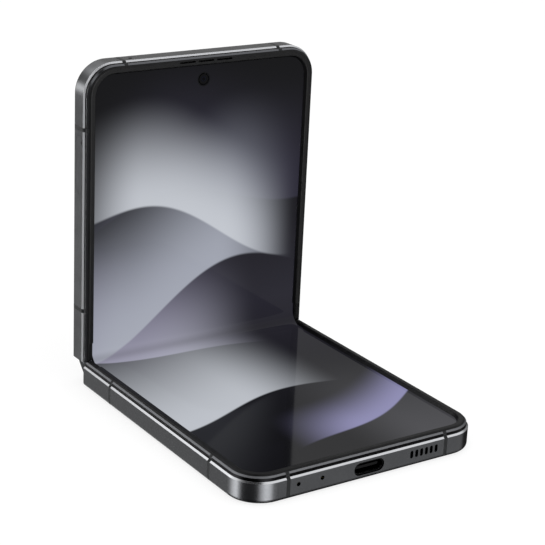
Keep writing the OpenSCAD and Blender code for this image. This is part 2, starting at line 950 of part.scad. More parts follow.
// Stub pins of the two pivot axes, fixed in the spine's end caps
module hinge_pins() {
    color("#c4c5c8")
        spine_place()
            both_ends()
                for (side = [-1, 1])
                    translate([leaf_x - 0.1, side * axis_off, 0])
                        rotate([0, 90, 0]) cylinder(r = pin_r, h = end_cap_x + end_cap_t - leaf_x + 0.1);
}

// Inner bearing plates of the sync pinions
module gear_plates() {
    color("#85878a")
        spine_place()
            both_ends()
                x_prism(gear_plate_x, gear_plate_x + gear_plate_t)
                    difference() {
                        spine_section(spine_r - spine_t - spine_fit, block_top);
                        for (side = [-1, 1])
                            translate([side * pinion_r, -pinion_depth]) circle(journal_r + run_gap);
                    }
}

// Sync pinion on its journal; the upper one is turned by half a tooth to mesh with the lower one
module pinion(side, shift) {
    to_sector = side < 0 ? 180 - mesh_angle : mesh_angle;
    pitch = 360 / pinion_teeth;
    translate([0, side * pinion_r, -pinion_depth]) {
        x_prism(leaf_x, leaf_x + gear_w)
            union() {
                circle(pinion_r - tooth_down);
                for (i = [0:pinion_teeth - 1])
                    rotate(to_sector + (i + shift) * pitch) gear_tooth(pinion_teeth);
            }
        translate([gear_plate_x - washer_stack, 0, 0])
            rotate([0, 90, 0])
                cylinder(r = journal_r, h = end_cap_x + end_cap_t - gear_plate_x + washer_stack);
    }
}

module lower_pinion_left() {
    color("#a99a78") spine_place() mirror([1, 0, 0]) pinion(-1, 0);
}

module lower_pinion_right() {
    color("#a99a78") spine_place() pinion(-1, 0);
}

module upper_pinion_left() {
    color("#a99a78") spine_place() mirror([1, 0, 0]) pinion(1, 0.5);
}

module upper_pinion_right() {
    color("#a99a78") spine_place() pinion(1, 0.5);
}

// Stacks of friction washers round the pinions' inner journals
module friction_washers() {
    washer_r = 0.85;
    color("#94969a")
        spine_place()
            both_ends()
                for (side = [-1, 1], i = [1:3])
                    translate([gear_plate_x + seat_gap - i * washer_pitch, side * pinion_r, -pinion_depth])
                        rotate([0, 90, 0])
                            difference() {
                                cylinder(r = washer_r, h = washer_t);
                                translate([0, 0, -cut])
                                    cylinder(r = journal_r + run_gap, h = washer_t + 2 * cut);
                            }
}

// Opening of the USB-C receptacle in the wall, with relief for it under the mid plate
module port_opening() {
    translate([0, 0, port_h])
        y_prism(port_end - port_l - key_gap, free_end + cut)
            slot_2d(port_w + 2 * key_gap, port_t + 2 * key_gap);
}

module usb_receptacle() {
    color("#9c9da0")
        lower_place()
            translate([0, 0, port_h])
                difference() {
                    y_prism(port_end - port_l, port_end) slot_2d(port_w, port_t);
                    y_prism(port_end - port_l + port_back, port_end + cut)
                        slot_2d(port_w - 2 * port_shell, port_t - 2 * port_shell);
                }
}

// Contact tongue in the middle of the receptacle
module usb_tongue() {
    color("#1c1c1c")
        lower_place()
            translate([0, 0, port_h])
                y_prism(port_end - port_l + port_back, port_end - 0.9)
                    square([tongue_w, tongue_t], center = true);
}

module speaker_slots() {
    for (i = [0:slot_count - 1])
        translate([slot_x + i * slot_pitch, 0, slot_line])
            y_prism(free_end - wall_t - cut, free_end + cut)
                rotate(90) slot_2d(slot_h, slot_w);
}

module microphone_holes() {
    for (x = mic_x)
        translate([x, free_end - wall_t - cut, mic_line])
            rotate([-90, 0, 0]) cylinder(r = mic_r, h = wall_t + 2 * cut);
}

module top_microphone_hole() {
    translate([mic_x[0], free_end - wall_t - cut, mic_line])
        rotate([-90, 0, 0]) cylinder(r = mic_r, h = wall_t + 2 * cut);
}

module speaker_mesh() {
    color("#26272a")
        lower_place()
            translate([speaker_mid, 0, slot_line])
                y_prism(free_end - wall_t - 0.25, free_end - wall_t - 0.05)
                    square([slot_count * slot_pitch + 0.6, slot_h + 0.5], center = true);
}

module loudspeaker() {
    top = plate_under - inner_gap;
    base = glass_t + glass_seat_t + seat_gap;
    end = free_end - wall_t - 0.4;
    color("#2f3033")
        lower_place()
            translate([speaker_mid + 3.2, (speaker_start + end) / 2, base])
                linear_extrude(top - base) round_rect(20, end - speaker_start, 1.5);
}

module bottom_microphones() {
    color("#b9a36a")
        lower_place()
            for (x = mic_x)
                translate([x - mic_l / 2, free_end - wall_t - 0.2 - mic_w, board_under - mic_t - seat_gap])
                    cube([mic_l, mic_w, mic_t]);
}

module lower_board() {
    color("#1f4a38")
        lower_place()
            translate([0, 0, board_under])
                linear_extrude(board_t)
                    difference() {
                        intersection() {
                            half_outline(screen_in, lower_board_start);
                            translate([-half_w, lower_board_start])
                                square([half_w + lower_board_right, half_l]);
                        }
                        translate([-port_w / 2 - board_gap, port_end - port_l - board_gap])
                            square([port_w + 2 * board_gap, port_l + 2]);
                    }
}

module lower_battery() {
    color("#3b3d42")
        lower_place()
            translate([0, (battery_start + lower_battery_end) / 2, glass_t + coil_room])
                linear_extrude(plate_under - glass_t - coil_room - inner_gap)
                    round_rect(60, lower_battery_end - battery_start, battery_round);
}

module charging_coil() {
    color("#b06a3a")
        lower_place()
            translate([0, coil_y, glass_t + seat_gap])
                difference() {
                    cylinder(r = coil_r, h = coil_t);
                    translate([0, 0, -cut]) cylinder(r = coil_r - coil_w, h = coil_t + 2 * cut);
                }
}

module ferrite_sheet() {
    color("#26262a")
        lower_place()
            translate([0, coil_y, glass_t + coil_t + 2 * seat_gap])
                cylinder(r = coil_r + 1, h = ferrite_t);
}

module vibration_motor() {
    color("#a6a7aa")
        lower_place()
            translate([-26, lower_board_start + 4.5, glass_t + 0.65])
                linear_extrude(board_under - glass_t - 0.75) round_rect(10, 7, 1);
}

// Opening of a key in the right side wall
module key_opening(pos, length) {
    translate([0, pos, key_h])
        rotate([90, 0, 90])
            translate([0, 0, half_w - wall_t - cut])
                linear_extrude(wall_t + 2 * cut) slot_2d(length + 2 * key_gap, key_t + 2 * key_gap);
}

// A side key: its face stands out of the wall and its flange stops behind it
module side_key(pos, length) {
    ease = 0.12;
    face_x = half_w + key_out - ease;
    translate([0, pos, key_h])
        rotate([90, 0, 90]) {
            translate([0, 0, flange_x])
                linear_extrude(flange_t) slot_2d(length + 1.4, key_t + 0.6);
            translate([0, 0, flange_x])
                linear_extrude(face_x - flange_x) slot_2d(length, key_t);
            translate([0, 0, face_x])
                linear_extrude(ease) slot_2d(length - 2 * ease, key_t - 2 * ease);
        }
}

module power_key() {
    color("#505154") upper_place() side_key(power_pos, power_l);
}

module volume_key() {
    color("#505154") upper_place() side_key(volume_pos, volume_l);
}

// Dome switches behind the keys
module key_switches() {
    switch_t = 1.2;
    switch_l = 3;
    switch_x = flange_x - key_travel - switch_t;
    volume_spread = 6;
    color("#8b8d90")
        upper_place()
            for (y = [power_pos, volume_pos - volume_spread, volume_pos + volume_spread])
                translate([switch_x, y - switch_l / 2, key_h - switch_t])
                    cube([switch_t, switch_l, plate_under - key_h + switch_t]);
}

// Opening of the SIM tray in the left side wall
module tray_opening() {
    translate([0, tray_pos, tray_face_h])
        rotate([90, 0, -90])
            translate([0, 0, half_w - wall_t - cut])
                linear_extrude(wall_t + 2 * cut)
                    slot_2d(tray_l + 2 * key_gap, tray_face + 2 * key_gap);
}

// SIM tray: outer face with the eject hole, and the carrier plate with the card's recess
module sim_tray() {
    face_x = half_w - wall_t;
    rim = 1.4;
    color("#505154")
        upper_place()
            difference() {
                union() {
                    translate([0, tray_pos, tray_face_h])
                        rotate([90, 0, -90])
                            translate([0, 0, face_x])
                                linear_extrude(wall_t) slot_2d(tray_l, tray_face);
                    translate([-face_x - 0.2, carrier_y, key_h - tray_t / 2])
                        cube([tray_depth - wall_t, carrier_l, tray_t]);
                }
                translate([-half_w - cut, tray_pos + tray_l / 2 - eject_from_end, eject_h])
                    rotate([0, 90, 0]) cylinder(r = eject_r, h = wall_t + 2 * cut);
                translate([-face_x + rim + 0.2, carrier_y + rim, key_h - tray_t / 2 + 0.15])
                    cube([12.4, carrier_l - 2 * rim, tray_t]);
            }
}

// Card reader that the tray slides into: base, two side rails and roof
module sim_reader() {
    gap = 0.15;
    wall = 0.3;
    base_h = key_h - tray_t / 2 - gap - wall;
    reader_l = tray_depth - wall_t - 0.4;
    color("#a3a5a8")
        upper_place()
            translate([-inner_w + 1.2, carrier_y - gap - wall, base_h])
                difference() {
                    cube([reader_l, carrier_l + 2 * (gap + wall), board_under - base_h - seat_gap]);
                    translate([-cut, wall, wall])
                        cube([reader_l - 0.4 + cut, carrier_l + 2 * gap, tray_t + 2 * gap]);
                }
}

// Openings of the mid plate for the front camera
module camera_openings() {
    translate([0, punch_y, plate_under - cut])
        cylinder(r = punch_r + 0.4, h = plate_t + 2 * cut);
}

module main_board() {
    color("#1f4a38")
        upper_place()
            translate([0, 0, board_under])
                linear_extrude(board_t)
                    difference() {
                        half_outline(wall_t + 2.4, main_board_start);
                        for (x = camera_xs)
                            translate([x, camera_y]) square(camera_body + board_gap, center = true);
                        translate([0, punch_y]) square(front_body + board_gap, center = true);
                    }
}

// Two metal shield lids on the board, drawn as shallow boxes open towards it
module shield_cans() {
    skin = 0.2;
    lid_h = 1.9;
    base = board_under - lid_h;
    color("#b4b6b9")
        upper_place()
            for (can = shield_boxes)
                difference() {
                    translate([can[0], can[1], base]) cube([can[2], can[3], lid_h - seat_gap]);
                    translate([can[0] + skin, can[1] + skin, base + skin])
                        cube([can[2] - 2 * skin, can[3] - 2 * skin, lid_h]);
                }
}

module processor() {
    chip_w = 12;
    chip_t = 1.18;
    color("#202124")
        upper_place()
            translate([0, main_board_start + 3, board_under - chip_t - seat_gap])
                cube([chip_w, chip_w, chip_t]);
}

module upper_battery() {
    base = glass_t + cover_display_t + 0.2;
    color("#3b3d42")
        upper_place()
            translate([0, (battery_start + upper_battery_end) / 2, base])
                linear_extrude(plate_under - base - inner_gap)
                    round_rect(58, upper_battery_end - battery_start, battery_round);
}

// Cover display behind the glass, with a step round the camera corner
module cover_display() {
    color("#101114")
        upper_place()
            translate([0, 0, glass_t + seat_gap])
                linear_extrude(cover_display_t)
                    difference() {
                        half_outline(5, battery_start);
                        translate([flash_x - 3, camera_y - ring_r - 1.2]) square([half_w, half_l]);
                    }
}

// Rear camera modules: square base and round barrel
module rear_cameras() {
    color("#2a2b2e")
        upper_place()
            for (x = camera_xs)
                translate([x, camera_y, 0]) {
                    translate([0, 0, camera_base])
                        linear_extrude(plate_under - camera_base - 0.05)
                            round_rect(camera_body, camera_body, 1);
                    translate([0, 0, -0.1]) cylinder(r = barrel_r, h = camera_base + 0.3);
                }
}

// Metal rings round the rear lenses
module camera_rings() {
    color("#5d5e61")
        upper_place()
            for (x = camera_xs)
                translate([x, camera_y, 0])
                    rotate_extrude()
                        polygon([
                            [lens_seat_r, -ring_h + ring_ease / 2],
                            [lens_seat_r + ring_ease / 2, -ring_h],
                            [ring_r - ring_ease, -ring_h], [ring_r, -ring_h + ring_ease],
                            [ring_r, -0.01], [ring_r - ring_lap, -0.01],
                            [ring_r - ring_lap, glass_t + ring_ease],
                            [lens_seat_r - 0.4, glass_t + ring_ease],
                            [lens_seat_r - 0.4, -lens_seat_h], [lens_seat_r, -lens_seat_h]
                        ]);
}

module camera_lenses() {
    color("#0a0a0d")
        upper_place()
            for (x = camera_xs)
                translate([x, camera_y, -ring_h + 0.25])
                    cylinder(r = lens_seat_r - ring_fit, h = ring_h - 0.25 - lens_seat_h);
}

module flash_lens() {
    color("#e6e0c8")
        upper_place()
            translate([flash_x, camera_y, 0.05]) cylinder(r = flash_r, h = glass_t + 0.6);
}

module front_camera() {
    color("#0c0c10")
        upper_place()
            translate([0, punch_y, 0]) {
                translate([0, 0, plate_under - front_t - 0.05])
                    linear_extrude(front_t) round_rect(front_body, front_body, 1);
                translate([0, 0, plate_under - joint_lap])
                    cylinder(r = punch_r - 0.1, h = plate_t + 2 * joint_lap);
                translate([0, 0, screen_under]) cylinder(r = punch_r - 0.3, h = screen_t - 0.1);
            }
}

module earpiece() {
    base = glass_t + cover_display_t + 0.07;
    color("#2f3033")
        upper_place()
            translate([-12, camera_y + 2.5, base])
                linear_extrude(board_under - base - 0.05) round_rect(12, 9, 1);
}

lower_frame();
lower_antenna_bands();
lower_bezel();
lower_hinge_caps();
lower_back_glass();
lower_arms();
lower_arm_screws();
lower_wing_plate();
display_lower();
lower_battery();
lower_board();
usb_receptacle();
usb_tongue();
loudspeaker();
speaker_mesh();
bottom_microphones();
charging_coil();
ferrite_sheet();
vibration_motor();
upper_frame();
upper_antenna_bands();
upper_bezel();
upper_hinge_caps();
cover_glass();
upper_arms();
upper_arm_screws();
upper_wing_plate();
display_upper();
upper_battery();
main_board();
processor();
shield_cans();
cover_display();
rear_cameras();
camera_rings();
camera_lenses();
flash_lens();
front_camera();
earpiece();
sim_reader();
sim_tray();
power_key();
volume_key();
key_switches();
spine_cover();
spine_end_caps();
hinge_blocks();
hinge_pins();
gear_plates();
friction_washers();
block_screws();
lower_pinion_left();
lower_pinion_right();
upper_pinion_left();
upper_pinion_right();
display_fold();
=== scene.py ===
import json
from math import cos, pi, radians, sin, tau

import bpy
import numpy as np
from mathutils import Matrix, Vector


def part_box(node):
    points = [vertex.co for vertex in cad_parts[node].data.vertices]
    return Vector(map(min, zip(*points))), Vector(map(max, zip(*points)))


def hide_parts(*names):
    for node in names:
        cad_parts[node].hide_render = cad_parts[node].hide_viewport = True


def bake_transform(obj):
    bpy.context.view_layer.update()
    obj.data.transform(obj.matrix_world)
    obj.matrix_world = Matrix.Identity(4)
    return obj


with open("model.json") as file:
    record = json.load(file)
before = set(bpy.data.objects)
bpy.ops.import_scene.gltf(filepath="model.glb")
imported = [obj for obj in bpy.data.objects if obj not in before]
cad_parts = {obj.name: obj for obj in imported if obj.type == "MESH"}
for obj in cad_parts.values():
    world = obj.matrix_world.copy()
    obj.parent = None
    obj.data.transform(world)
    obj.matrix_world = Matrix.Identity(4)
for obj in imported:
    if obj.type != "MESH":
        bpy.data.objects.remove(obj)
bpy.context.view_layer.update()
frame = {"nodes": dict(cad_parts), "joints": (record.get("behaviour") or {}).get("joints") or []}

print("frame loaded:", len(frame["nodes"]), "CAD nodes")

# Clamshell foldable phone opened to a right angle. CAD bodies carry the shape; this script adds the
# folding part of the display, every surface finish, the floor, the light and the camera.

joints = {joint["name"]: joint for joint in frame["joints"]}
lowerAxis = Vector(joints["lower_fold"]["pos_m"]) * 1000
upperAxis = Vector(joints["upper_fold"]["pos_m"]) * 1000

phone = {
    "axisOffset": 1.9,  # mm from the fold's centre to each pivot axis with the phone flat
    "axisHeight": 5.65,  # mm, pivot axes above the back glass
    "screenHeight": 6.45,  # mm, picture side above the back glass
    "screenHalfWidth": 33.3,
    "screenThickness": 0.9,
    "glueLine": 6.99,  # mm from the fold's centre to where the display is glued down
}
foldY = lowerAxis.y + phone["axisOffset"]

# Where each half's own frame lies: measured from origin (mm), turned about X, Y mirrored by flip.
# In it X runs across the phone, Y from the fold towards the free end and Z up from the back glass.
upperOrigin = (0, upperAxis.y + phone["axisHeight"], upperAxis.z - phone["axisOffset"])
halves = {
    "Lower": {"origin": (0, foldY, 0), "turn": 0, "flip": -1},
    "Upper": {"origin": upperOrigin, "turn": -90, "flip": 1},
}

# Settings that recur: a range that eases in and out as 3t^2 - 2t^3, and a mix of colours
eased = {"interpolation_type": "SMOOTHSTEP"}
ofColours = {"data_type": "RGBA"}
noiseMiddle = (0.3, 0.7)  # where most values of a noise lie


def linearColour(code):
    # sRGB hex to linear light: x/12.92 below 0.04045, else ((x + 0.055)/1.055)^2.4
    channels = [int(code[i:i + 2], 16) / 255 for i in (1, 3, 5)]
    return tuple(x / 12.92 if x <= 0.04045 else ((x + 0.055) / 1.055) ** 2.4 for x in channels) + (1.0,)


def outputOf(source):
    # An output stands for itself, a node for the first of its outputs in use
    if isinstance(source, bpy.types.Node):
        return [socket for socket in source.outputs if socket.enabled][0]
    return source


def addNode(tree, kind, feeds=(), **settings):
    # One node. Settings are its attributes. Feeds fill its sockets, by name or in their order, each with
    # a number, a hex colour, or the node or output it is linked to; stops fill a colour ramp
    node = tree.nodes.new("ShaderNode" + kind)
    stops = settings.pop("stops", None)
    for name, value in settings.items():
        setattr(node, name, value)
    sockets = [socket for socket in node.inputs if socket.enabled]
    if isinstance(feeds, dict):
        named = {socket.name: socket for socket in reversed(sockets)}
        filled = [(named[name], value) for name, value in feeds.items()]
    else:
        filled = zip(sockets, feeds)
    for socket, value in filled:
        if isinstance(value, (bpy.types.Node, bpy.types.NodeSocket)):
            tree.links.new(outputOf(value), socket)
        else:
            socket.default_value = linearColour(value) if isinstance(value, str) else value
    if stops:
        elements = node.color_ramp.elements
        elements.remove(elements[1])
        elements[0].position, elements[0].color = stops[0][0], linearColour(stops[0][1])
        for position, code in stops[1:]:
            elements.new(position).color = linearColour(code)
    return node


def newMaterial(name, values):
    # A Principled surface; what is the same all over goes straight onto the shader's sockets
    material = bpy.data.materials.new(name)
    material.use_nodes = True
    shader = material.node_tree.nodes["Principled BSDF"]
    for socket, value in values.items():
        shader.inputs[socket].default_value = linearColour(value) if isinstance(value, str) else value
    return material, material.node_tree


def dressSurface(material, patterns, height=None, depth=0.0, strength=1.0):
    # Links each pattern to the shader's socket of that name. Height becomes a relief that is depth mm
    # deep from its 0 to its 1
    tree = material.node_tree
    shader = tree.nodes["Principled BSDF"]
    if height is not None:
        relief = {"Height": height, "Distance": depth / 1000, "Strength": strength}
        patterns = {**patterns, "Normal": addNode(tree, "Bump", relief)}
    for name, source in patterns.items():
        tree.links.new(outputOf(source), shader.inputs[name])
    return material


def inMillimetres(tree, origin=(0, 0, 0), turn=0, flip=1):
    # Object coordinates in mm: Y is mirrored, then origin becomes zero, then all turns about X
    spin = Matrix.Rotation(radians(turn), 3, "X")
    start = spin @ Vector((origin[0], origin[1] * flip, origin[2]))
    return addNode(tree, "Mapping", {
        "Vector": addNode(tree, "TexCoord").outputs["Object"],
        "Location": -start, "Rotation": (radians(turn), 0, 0), "Scale": (1000, 1000 * flip, 1000),
    })


def grain(tree, place, size, low=0.0, high=1.0, stretch=None, detail=2.0):
    # Noise with features of size mm, its middle range eased to low..high; stretch pulls the pattern out
    # along an axis
    if stretch:
        place = addNode(tree, "Mapping", {"Vector": place, "Scale": stretch})
    noise = addNode(tree, "TexNoise", {"Vector": place, "Scale": 1 / size, "Detail": detail, "Roughness": 0.55})
    return addNode(tree, "MapRange", (noise, *noiseMiddle, low, high), **eased)


def distanceFrom(tree, place, keep):
    # Distance in mm from zero, measured along the axes that keep has as 1
    flat = addNode(tree, "VectorMath", (place, keep), operation="MULTIPLY")
    return addNode(tree, "VectorMath", (flat,), operation="LENGTH")


def outsideBox(tree, place, halfSize):
    # How far a place lies beyond a box round zero: length of max(|place| - halfSize, 0)
    outward = addNode(tree, "VectorMath", (place,), operation="ABSOLUTE")
    beyond = addNode(tree, "VectorMath", (outward, halfSize), operation="SUBTRACT")
    beyond = addNode(tree, "VectorMath", (beyond, (0, 0, 0)), operation="MAXIMUM")
    return addNode(tree, "VectorMath", (beyond,), operation="LENGTH")


def boxInMillimetres(name):
    # Centre and size of a CAD node's box
    low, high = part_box(name)
    return (low + high) * 500, (high - low) * 1000


def paint(nodes, material):
    # Puts a material into every material slot of the named CAD nodes
    for name in nodes.split():
        for holder in frame["nodes"][name].material_slots:
            holder.material = material


sideFrame = {
    # Flank grey for each half: the upper is painted lighter than the lower, painted light and shade on one metal
    "side": {"Lower": "#515254", "Upper": "#606163"},
    "sideDark": "#4e4f51",
    "sideMottle": 9.0,  # mm
    "chamfer": "#bcbdc0",
    # Painted shade: the groove inside the chamfer, coloured near black
    "grooveShade": "#0e0e0f",
    "ridge": {"Lower": "#6a6b6e", "Upper": "#57585b"},  # painted highlight on the ridge's bevel, painted darker on the upper half as shade
    # Painted shade on the ridge's flat top and walls
    "ridgeTop": "#1e1f20",
    # The upper chamfer is slightly crowned, which spreads what it mirrors, and the lower ridge is brushed
    "cutRoughness": {"Lower": 0.2, "Upper": 0.45},
    "ridgeRoughness": {"Lower": 0.5, "Upper": 0.22},
    "blastedRoughness": (0.2, 0.25),
    "grain": 0.45,  # mm; blasted pits are about 0.05 mm, drawn coarser so that they show
    "pitDepth": 0.0012,  # mm
    # Heights in mm above the back glass, from where each part starts to where it is full
    "chamferFrom": (5.44, 5.48),
    "chamferTo": (5.9, 5.96),
    "innerFrom": (5.87, 5.92),
    "ridgeFrom": (6.68, 6.74),
    # A face slopes where its normal's rise is past leaning and short of level
    "leaning": (0.3, 0.4),
    "level": (0.9, 0.96),
}


def anodisedFrame(name):
    # Anodised aluminium, bead-blasted and then diamond-cut: graphite satin flanks with a fine grain, painted
    # lighter on the upper half than the lower as painted light and shade, one bright cut chamfer, painted shade
    # in the groove inside it and an inner ridge with a painted highlight on its bevel and painted shade on its
    # flat faces. A point's height above the back glass and the slope of its face say which of these it is on
    half, v = halves[name], sideFrame
    material, tree = newMaterial("anodisedAluminium" + name, {"Metallic": 1.0})
    place = inMillimetres(tree, **half)
    height = addNode(tree, "SeparateXYZ", (place,)).outputs["Z"]
    facing = addNode(tree, "Mapping", {
        "Vector": addNode(tree, "TexCoord").outputs["Normal"],
        "Rotation": (radians(half["turn"]), 0, 0), "Scale": (1, half["flip"], 1),
    }, vector_type="VECTOR")
    rise = addNode(tree, "SeparateXYZ", (facing,)).outputs["Z"]
    leaning = addNode(tree, "MapRange", (rise, *v["leaning"]), **eased)
    notLevel = addNode(tree, "MapRange", (rise, *v["level"], 1.0, 0.0), **eased)
    sloping = addNode(tree, "Math", (leaning, notLevel), operation="MULTIPLY")
    above = addNode(tree, "MapRange", (height, *v["chamferFrom"]), **eased)
    below = addNode(tree, "MapRange", (height, *v["chamferTo"], 1.0, 0.0), **eased)
    cut = addNode(tree, "Math", (sloping, above), operation="MULTIPLY")
    cut = addNode(tree, "Math", (cut, below), operation="MULTIPLY")
    onRidge = addNode(tree, "MapRange", (height, *v["ridgeFrom"]), **eased)
    inside = addNode(tree, "MapRange", (height, *v["innerFrom"]), **eased)
    mottle = grain(tree, place, v["sideMottle"])
    # Flank: mottled grain in its half's grey of painted light and shade
    flankLitPerHalf = addNode(tree, "Mix", (mottle, v["sideDark"], v["side"][name]), **ofColours)
    # Ridge: painted highlight on its sloping bevel, painted shade on its flat faces
    ridgeLitAndShaded = addNode(tree, "Mix", (sloping, v["ridgeTop"], v["ridge"][name]), **ofColours)
    # Painted shade in the groove below the ridge, with the ridge's paint above it
    inner = addNode(tree, "Mix", (onRidge, v["grooveShade"], ridgeLitAndShaded), **ofColours)
    colour = addNode(tree, "Mix", (inside, flankLitPerHalf, inner), **ofColours)
    colour = addNode(tree, "Mix", (cut, colour, v["chamfer"]), **ofColours)
    blasted = grain(tree, place, v["grain"], *v["blastedRoughness"])
    rough = addNode(tree, "Mix", (onRidge, blasted, v["ridgeRoughness"][name]))
    rough = addNode(tree, "Mix", (cut, rough, v["cutRoughness"][name]))
    pits = grain(tree, place, v["grain"])
    return dressSurface(material, {"Base Color": colour, "Roughness": rough}, pits, v["pitDepth"])


for name in halves:
    paint(name.lower() + "_frame", anodisedFrame(name))

# Moulded and pressed parts: two close shades mottled at flow mm, and a skin of skin mm that is depth mm
# deep; a roughness that is given here varies over fleck mm. Skins are drawn a few times coarser than the
# real 0.02 to 0.1 mm, so that they show
mouldings = {
    "band": {"dark": "#1c1d1e", "light": "#232425", "flow": 1.2, "fleck": 0.4, "roughness": (0.36, 0.5),
             "skin": 0.3, "depth": 0.004},
    "rim": {"dark": "#0b0b0c", "light": "#111112", "flow": 3.0, "fleck": 0.5, "roughness": (0.36, 0.5),
            "skin": 0.5, "depth": 0.005},
    "cap": {"dark": "#060607", "light": "#0b0b0c", "flow": 1.5, "skin": 0.4, "depth": 0.012},
    "backGlass": {"dark": "#36373b", "light": "#404247", "flow": 0.5, "fleck": 0.6, "roughness": (0.38, 0.5),
                  "skin": 0.35, "depth": 0.003},
}


def mottledSurface(name, values, v):
    # Colour runs from dark to light with noise at flow mm, roughness with noise at fleck mm, and the
    # relief with noise at skin mm
    material, tree = newMaterial(name, values)
    place = inMillimetres(tree)
    mottle = grain(tree, place, v["flow"])
    patterns = {"Base Color": addNode(tree, "Mix", (mottle, v["dark"], v["light"]), **ofColours)}
    if "roughness" in v:
        patterns["Roughness"] = grain(tree, place, v["fleck"], *v["roughness"])
    return dressSurface(material, patterns, grain(tree, place, v["skin"]), v["depth"])


# Glass-filled nylon moulded into the frame's splits, machined flush: a satin grey strip, a shade off the
# metal, that doesn't take the metal's shine
paint("lower_antenna_bands upper_antenna_bands", mottledSurface(
    "glassFilledNylon", {"IOR": 1.53, "Specular IOR Level": 0.12}, mouldings["band"]))
# Polycarbonate rim round the screen with a spark-eroded skin: black, with a soft low gloss
paint("lower_bezel upper_bezel", mottledSurface(
    "texturedPolycarbonate", {"IOR": 1.5, "Specular IOR Level": 0.12}, mouldings["rim"]))
# Thermoplastic elastomer caps over the hinge: dead matt black with a dry skin
paint("lower_hinge_caps upper_hinge_caps", mottledSurface(
    "elastomer", {"Roughness": 0.75, "IOR": 1.5, "Specular IOR Level": 0.15}, mouldings["cap"]))
# Chemically etched aluminosilicate back glass over a grey film: a soft matt sheen with a fine sparkle
paint("lower_back_glass", mottledSurface(
    "etchedGlass", {"IOR": 1.51, "Coat Weight": 0.15, "Coat Roughness": 0.35}, mouldings["backGlass"]))
print("frames, bands, bezels, caps and back glass finished")

screen = {
    "black": "#08080a",
    "activeHalfWidth": 33.2,  # mm, lit area; outside it the panel is black
    "activeHalfLength": 80.3,
    "activeCorner": 5.9,
    "activeBlur": 0.06,  # mm, half width of the lit area's edge
    "cameraFromFold": 76.15,
    "cameraBorder": 2.0,
    "cameraBlur": 0.05,
    # Painted shade along the fold: within crease mm of it the picture is darkened towards black
    "crease": 2.6,  # mm, half width of the band that the fold darkens
    "creaseShade": 0.22,
    # Each ribbon of the picture has a crisp lower edge at s = base + slope x + swing sin(tau x/wave + phase),
    # s being mm from the fold, and fades out over depth above it; window dims it across the phone
    "ribbons": [
        {"base": 40, "slope": 0.16, "swing": 7, "wave": 96, "phase": 2.4,
         "depth": 40, "window": (-40, 52), "colour": "#343242", "amount": 0.85},
        {"base": -8, "slope": -0.30, "swing": 4, "wave": 90, "phase": 0.5,
         "depth": 40, "window": (-88, 20), "colour": "#8f8ca2", "amount": 0.95},
        {"base": 13, "slope": 0.22, "swing": 8, "wave": 88, "phase": 0.9,
         "depth": 50, "window": (-52, 33), "colour": "#a4a8b4", "amount": 0.95},
        {"base": 33, "slope": -0.20, "swing": 6, "wave": 78, "phase": 2.6,
         "depth": 32, "window": (-42, 32), "colour": "#c6cad1", "amount": 0.92},
        {"base": -92, "slope": 0.10, "swing": 4, "wave": 80, "phase": 1.0,
         "depth": 70, "window": (0, 70), "colour": "#46464a", "amount": 0.9},
        {"base": -44, "slope": 0.10, "swing": 4, "wave": 74, "phase": 1.4,
         "depth": 64, "window": (-76, 22), "colour": "#bec2c9", "amount": 0.96},
        {"base": -70, "slope": 0.42, "swing": 3, "wave": 64, "phase": 3.0,
         "depth": 20, "window": (-14, 60), "colour": "#8f8db6", "amount": 0.9},
    ],
    "ribbonEdge": 0.9,  # mm over which a ribbon's lower edge comes in
    "windowFlat": 0.35,  # share of a window's half width that isn't dimmed
    "groundReach": 80.0,  # mm to either side of the fold that the ground's ramp covers
    "ground": [(0.0, "#0c0c0e"), (0.3, "#141418"), (0.47, "#1f1e25"), (0.56, "#26252e"), (0.72, "#141319"),
               (0.85, "#0b0b0d"), (1.0, "#0b0b0d")],
    # The cover film: mm from ripple to ripple, and its depth in mm
    "ripple": 14.0,
    "rippleDepth": 0.01,
    "rippleStrength": 0.3,
}


def ribbonAmount(tree, x, s, ribbon):
    # How much of a ribbon covers (x, s): its edge and fade along s, times its window across the phone
    angle = addNode(tree, "Math", (x, tau / ribbon["wave"], ribbon["phase"]), operation="MULTIPLY_ADD")
    sine = addNode(tree, "Math", (angle,), operation="SINE")
    wave = addNode(tree, "Math", (sine, ribbon["swing"], ribbon["base"]), operation="MULTIPLY_ADD")
    edge = addNode(tree, "Math", (x, ribbon["slope"], wave), operation="MULTIPLY_ADD")
    above = addNode(tree, "Math", (s, edge), operation="SUBTRACT")
    crisp = addNode(tree, "MapRange", (above, 0.0, screen["ribbonEdge"]), **eased)
    fading = addNode(tree, "MapRange", (above, 0.0, ribbon["depth"], 1.0, 0.0), **eased)
    body = addNode(tree, "Math", (crisp, fading), operation="MULTIPLY")
    low, high = ribbon["window"]
    reach = (high - low) / 2
    offMiddle = addNode(tree, "Math", (x, (low + high) / 2), operation="SUBTRACT")
    aside = addNode(tree, "Math", (offMiddle,), operation="ABSOLUTE")
    window = (aside, reach * screen["windowFlat"], reach, ribbon["amount"], 0.0)
    return addNode(tree, "Math", (body, addNode(tree, "MapRange", window, **eased)), operation="MULTIPLY")


